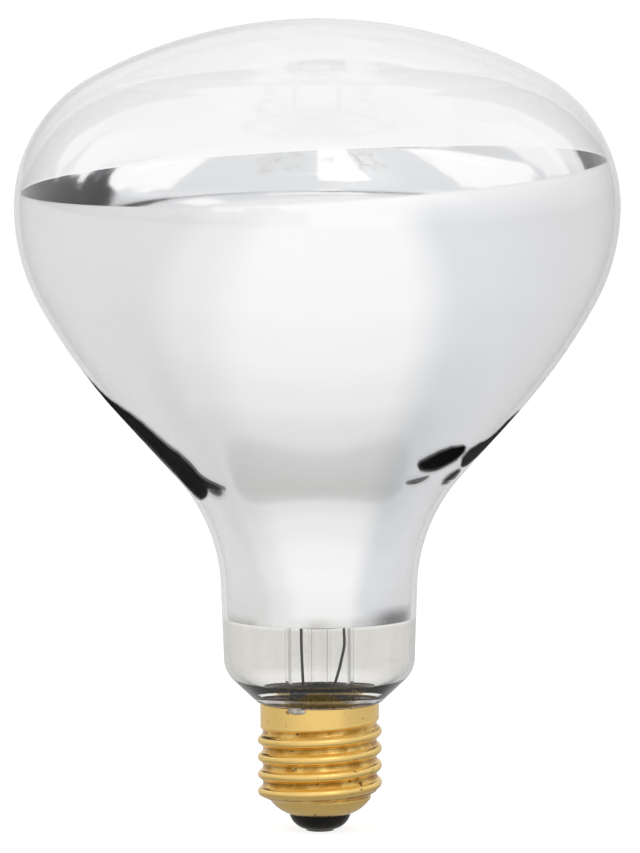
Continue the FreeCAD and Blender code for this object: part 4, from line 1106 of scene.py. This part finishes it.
class LAMP_OT_stage(Operator):
    """Set up the pale floor, the studio light and the camera"""

    bl_idname = "lamp.stage"
    bl_label = "Studio"

    def execute(self, context):
        self.camera(context)
        self.floor()
        self.cards()
        self.world(context)
        self.lights()
        context.scene.view_settings.view_transform = "Standard"
        return {"FINISHED"}

    @staticmethod
    def camera(context):
        """The camera at the photograph's place and angle."""
        data = bpy.data.cameras.new("camera")
        data.lens = CAMERA_LENS
        data.clip_end = CAMERA_REACH
        camera = linked("camera", data)
        place = Matrix.Translation((CAMERA_SIDE, -CAMERA_DISTANCE, CAMERA_HEIGHT))
        tip = Matrix.Rotation(math.pi / 2 - CAMERA_PITCH, 4, "X")
        camera.matrix_world = place @ tip @ Matrix.Rotation(CAMERA_ROLL, 4, "Z")
        context.scene.camera = camera

    @staticmethod
    def floor():
        """A pale floor that is seen white and keeps the lamp's shadow; the mirror sees it as a
        painted grey studio with a painted shadow of the lamp.
        """
        skin = bmesh.new()
        bmesh.ops.create_grid(skin, x_segments=1, y_segments=1, size=FLOOR_HALF)
        floor = stage_object("floor", skin)
        material, tree = stage_material("pale_floor")
        place = own_place(tree)
        shifted = add_node(tree, "ShaderNodeVectorMath", place, ROUND_CENTRE,
                           operation="SUBTRACT").outputs[0]
        narrow = add_node(tree, "ShaderNodeVectorMath", place, PAINTED_SHADOW_SHAPE, operation="MULTIPLY")
        away = add_node(tree, "ShaderNodeVectorMath", narrow.outputs[0], operation="LENGTH")
        # Painted studio tones times the painted shadow of the lamp, which one bounce in a mirror
        # shows
        both = fill(tree, add_node(tree, "ShaderNodeMix", data_type="RGBA", blend_type="MULTIPLY"),
                    Factor=1.0, A=heading_tone(tree, shifted),
                    B=ramp(tree, away.outputs["Value"], PAINTED_SHADOW_TONES))
        seen = add_node(tree, "ShaderNodeAddShader", glowing(tree, WHITE, FLOOR_GLOW),
                        diffuse(tree, FLOOR_SEEN)).outputs[0]
        shown = by_ray(tree, diffuse(tree, FLOOR_LIGHT), seen,
                       glowing(tree, both.outputs["Result"], 1.0), glowing(tree, BOWL_TONE, 1.0))
        feed(tree, tree.nodes["Material Output"].inputs["Surface"], shown)
        floor.data.materials.append(material)

    @staticmethod
    def cards():
        """Dark cards that lie beside the lamp and are seen only in its mirror."""
        centre, half, heading, tone = OVAL_CARD
        skin = bmesh.new()
        bmesh.ops.create_circle(skin, cap_ends=True, segments=OVAL_STEPS, radius=MM)
        bmesh.ops.scale(skin, vec=(*half, 1.0), verts=skin.verts)
        bmesh.ops.rotate(skin, cent=(0, 0, 0), verts=skin.verts,
                         matrix=Matrix.Rotation(math.radians(heading), 3, "Z"))
        bmesh.ops.translate(skin, vec=Vector((*centre, CARD_HEIGHT)) * MM, verts=skin.verts)
        card_object("right_dash", skin, tone)
        for name, tone, corners in OUTLINED_CARDS:
            skin = bmesh.new()
            places = [Vector((*corner, CARD_HEIGHT)) * MM for corner in corners]
            first = tip = skin.verts.new(places[0])
            for place in places[1:]:
                tip = bmesh.ops.extrude_vert_indiv(skin, verts=[tip])["verts"][0]
                tip.co = place
            skin.edges.new((tip, first))
            bmesh.ops.edgeloop_fill(skin, edges=skin.edges[:])
            card_object(name, skin, tone)

    @staticmethod
    def world(context):
        """White where it is seen, a plain light on the lamp, and a painted grey studio with
        painted highlights in the mirror.
        """
        world = bpy.data.worlds.new("studio")
        context.scene.world = world
        world.use_nodes = True
        tree = world.node_tree
        tree.nodes.remove(tree.nodes["Background"])
        way = add_node(tree, "ShaderNodeTexCoord").outputs["Generated"]
        heading, height = heading_of(tree, way), height_of(tree, way)
        upward = spread(tree, height, *SKY_HEIGHTS)
        far = blend_colours(tree, upward, heading_tone(tree, way), SKY_TONE)
        # Painted highlights for the brass, seen only in mirrors
        for ends, soft, tone in BRASS_PAINTED_HIGHLIGHTS:
            far = blend_colours(tree, patch(tree, heading, height, ends, soft, soft), far, tone)
        backdrops = [add_node(tree, "ShaderNodeBackground", *values).outputs[0] for values in (
            (WHITE, WORLD_LIGHT), (WHITE, 1.0), (far, FAR_TONE),
            (bowl_picture(tree, way, heading, height), 1.0))]
        feed(tree, tree.nodes["World Output"].inputs["Surface"], by_ray(tree, *backdrops))

    @staticmethod
    def lights():
        """The soft lights, which nothing mirrors."""
        for name, place, side, power in SOFT_LIGHTS:
            data = bpy.data.lights.new(name, "AREA")
            data.size = side
            data.energy = power
            lamp = linked(name, data)
            turn = (AIM - Vector(place)).to_track_quat("-Z", "Y")
            lamp.matrix_world = Matrix.Translation(place) @ turn.to_matrix().to_4x4()
            lamp.visible_glossy = False
            lamp.visible_transmission = False


def bowl_picture(tree, way, heading, height):
    """The painted reflection that the inside of the bowl shows, by the number of bounces."""
    ruffle = fill(tree, add_node(tree, "ShaderNodeTexNoise"), Vector=way, Scale=WAVER_SCALE,
                  Detail=3.0).outputs["Fac"]
    waver = spread(tree, ruffle, 0.3, 0.7, -WAVER, WAVER)
    heading, height = calc(tree, "ADD", heading, waver), calc(tree, "ADD", height, waver)
    bounces = add_node(tree, "ShaderNodeLightPath").outputs["Glossy Depth"]
    tone = BOWL_TONE
    for ends in BOWL_WINDOWS:
        lit = patch(tree, heading, height, ends, *WINDOW_SOFT)
        tone = blend_colours(tree, lit, tone, WINDOW_TONE)
    cracks = fill(tree, add_node(tree, "ShaderNodeTexVoronoi", feature="DISTANCE_TO_EDGE"),
                  Vector=way, Scale=LINE_SCALE).outputs["Distance"]
    fine = spread(tree, cracks, *LINE_WIDTH, 1.0, 0.0)
    for ends in BOWL_LINES:
        lines = multiplied(tree, patch(tree, heading, height, ends, *LINE_SOFT), fine)
        tone = blend_colours(tree, lines, tone, LINE_TONE)
    deep = multiplied(tree, window(tree, heading, DEEP_HEADINGS, DEEP_SOFT),
                      calc(tree, "GREATER_THAN", bounces, DEEP_BOUNCE))
    tone = blend_colours(tree, deep, tone, DEEP_TONE)
    shards = fill(tree, add_node(tree, "ShaderNodeTexVoronoi"), Vector=way, Scale=SHARD_SCALE)
    shade = add_node(tree, "ShaderNodeSeparateColor", shards.outputs["Color"]).outputs[0]
    night = blend_colours(tree, spread(tree, shade, 0.2, 0.9), *DARK_TONES)
    dark = multiplied(tree, patch(tree, heading, height, BOWL_DARK, *DARK_SOFT),
                      calc(tree, "GREATER_THAN", bounces, DARK_BOUNCE))
    return blend_colours(tree, dark, tone, night)


def stage_object(name, skin):
    """An object of the stage, which isn't part of the lamp."""
    made = linked(name, mesh_of(name, skin))
    return made


def card_object(name, skin, tone):
    """A card that only a mirror shows."""
    card = stage_object(name, skin)
    material, tree = stage_material(name)
    bounces = add_node(tree, "ShaderNodeLightPath").outputs["Glossy Depth"]
    shows = calc(tree, "GREATER_THAN", bounces, 0.5)
    clear = add_node(tree, "ShaderNodeBsdfTransparent").outputs[0]
    surface = mixed(tree, shows, clear, glowing(tree, WHITE, tone))
    feed(tree, tree.nodes["Material Output"].inputs["Surface"], surface)
    card.data.materials.append(material)
    card.visible_camera = False
    card.visible_diffuse = False
    card.visible_shadow = False


def stage_material(name):
    """A material of the stage, without its Principled shader."""
    material, tree, shader = node_material(name)
    tree.nodes.remove(shader)
    return material, tree


def glowing(tree, tone, strength):
    """Plain emitted light."""
    return add_node(tree, "ShaderNodeEmission", tone, strength).outputs[0]


def diffuse(tree, tone):
    """A plain matt grey."""
    return add_node(tree, "ShaderNodeBsdfDiffuse", (tone, tone, tone)).outputs[0]


def ramp(tree, value, stops):
    """Tones that change smoothly between stops."""
    low, high = stops[0][0], stops[-1][0]
    share = add_node(tree, "ShaderNodeMapRange", value, low, high).outputs["Result"]
    made = add_node(tree, "ShaderNodeValToRGB", share)
    made.color_ramp.interpolation = "EASE"
    marks = made.color_ramp.elements
    while len(marks) < len(stops):
        marks.new(0.5)
    for mark, (at, tone) in zip(marks, stops):
        mark.position = (at - low) / (high - low)
        mark.color = (*tone, 1.0)
    return made.outputs["Color"]


def heading_tone(tree, vector):
    """The painted studio reflection's tone in the heading of a place or direction."""
    return ramp(tree, heading_of(tree, vector), PAINTED_STUDIO_TONES)


def by_ray(tree, light, seen, once, often):
    """One shader for light on the lamp, one where it is seen, and two for one bounce and more."""
    path = add_node(tree, "ShaderNodeLightPath").outputs
    looks = path["Is Camera Ray"]
    for kind in ("Is Glossy Ray", "Is Transmission Ray"):
        looks = calc(tree, "MAXIMUM", looks, path[kind])
    shown = seen
    for count, shader in ((0.5, once), (1.5, often)):
        shown = mixed(tree, calc(tree, "GREATER_THAN", path["Glossy Depth"], count), shown, shader)
    return mixed(tree, looks, light, shown)


def mixed(tree, mask, first, second):
    """Two shaders mixed by a mask."""
    return add_node(tree, "ShaderNodeMixShader", mask, first, second).outputs[0]


class LAMP_PT_sidebar(Panel):
    """The lamp's pieces, in the order in which they are made"""

    bl_idname = "LAMP_PT_sidebar"
    bl_label = "Heat Lamp"
    bl_space_type = "VIEW_3D"
    bl_region_type = "UI"
    bl_category = "Heat Lamp"

    def draw(self, context):
        for step in STEPS:
            self.layout.operator(step.bl_idname)
        for holder in GROUPS:
            group = getattr(context.scene, holder)
            for name in group.__annotations__:
                self.layout.prop(group, name, text=name.replace("_", " ").capitalize())


GROUPS = {
    "lamp_bulb": BulbSizes,
    "lamp_mirror": MirrorSizes,
    "lamp_cap": CapSizes,
    "lamp_stem": StemSizes,
    "lamp_finishes": Finishes,
}
STEPS = (
    LAMP_OT_envelope,
    LAMP_OT_mirror,
    LAMP_OT_cap_shell,
    LAMP_OT_cap_tip,
    LAMP_OT_stem,
    LAMP_OT_filament,
    LAMP_OT_solder,
    LAMP_OT_finish_frame,
    LAMP_OT_stage,
)


def register():
    for made in (*GROUPS.values(), *STEPS, LAMP_PT_sidebar):
        bpy.utils.register_class(made)
    for name, group in GROUPS.items():
        setattr(bpy.types.Scene, name, PointerProperty(type=group))


def unregister():
    for name in GROUPS:
        delattr(bpy.types.Scene, name)
    for made in reversed((*GROUPS.values(), *STEPS, LAMP_PT_sidebar)):
        bpy.utils.unregister_class(made)


def main():
    """Make every piece and the studio."""
    register()
    for step in STEPS:
        family, name = step.bl_idname.split(".")
        getattr(getattr(bpy.ops, family), name)()


if __name__ == "__main__":
    main()
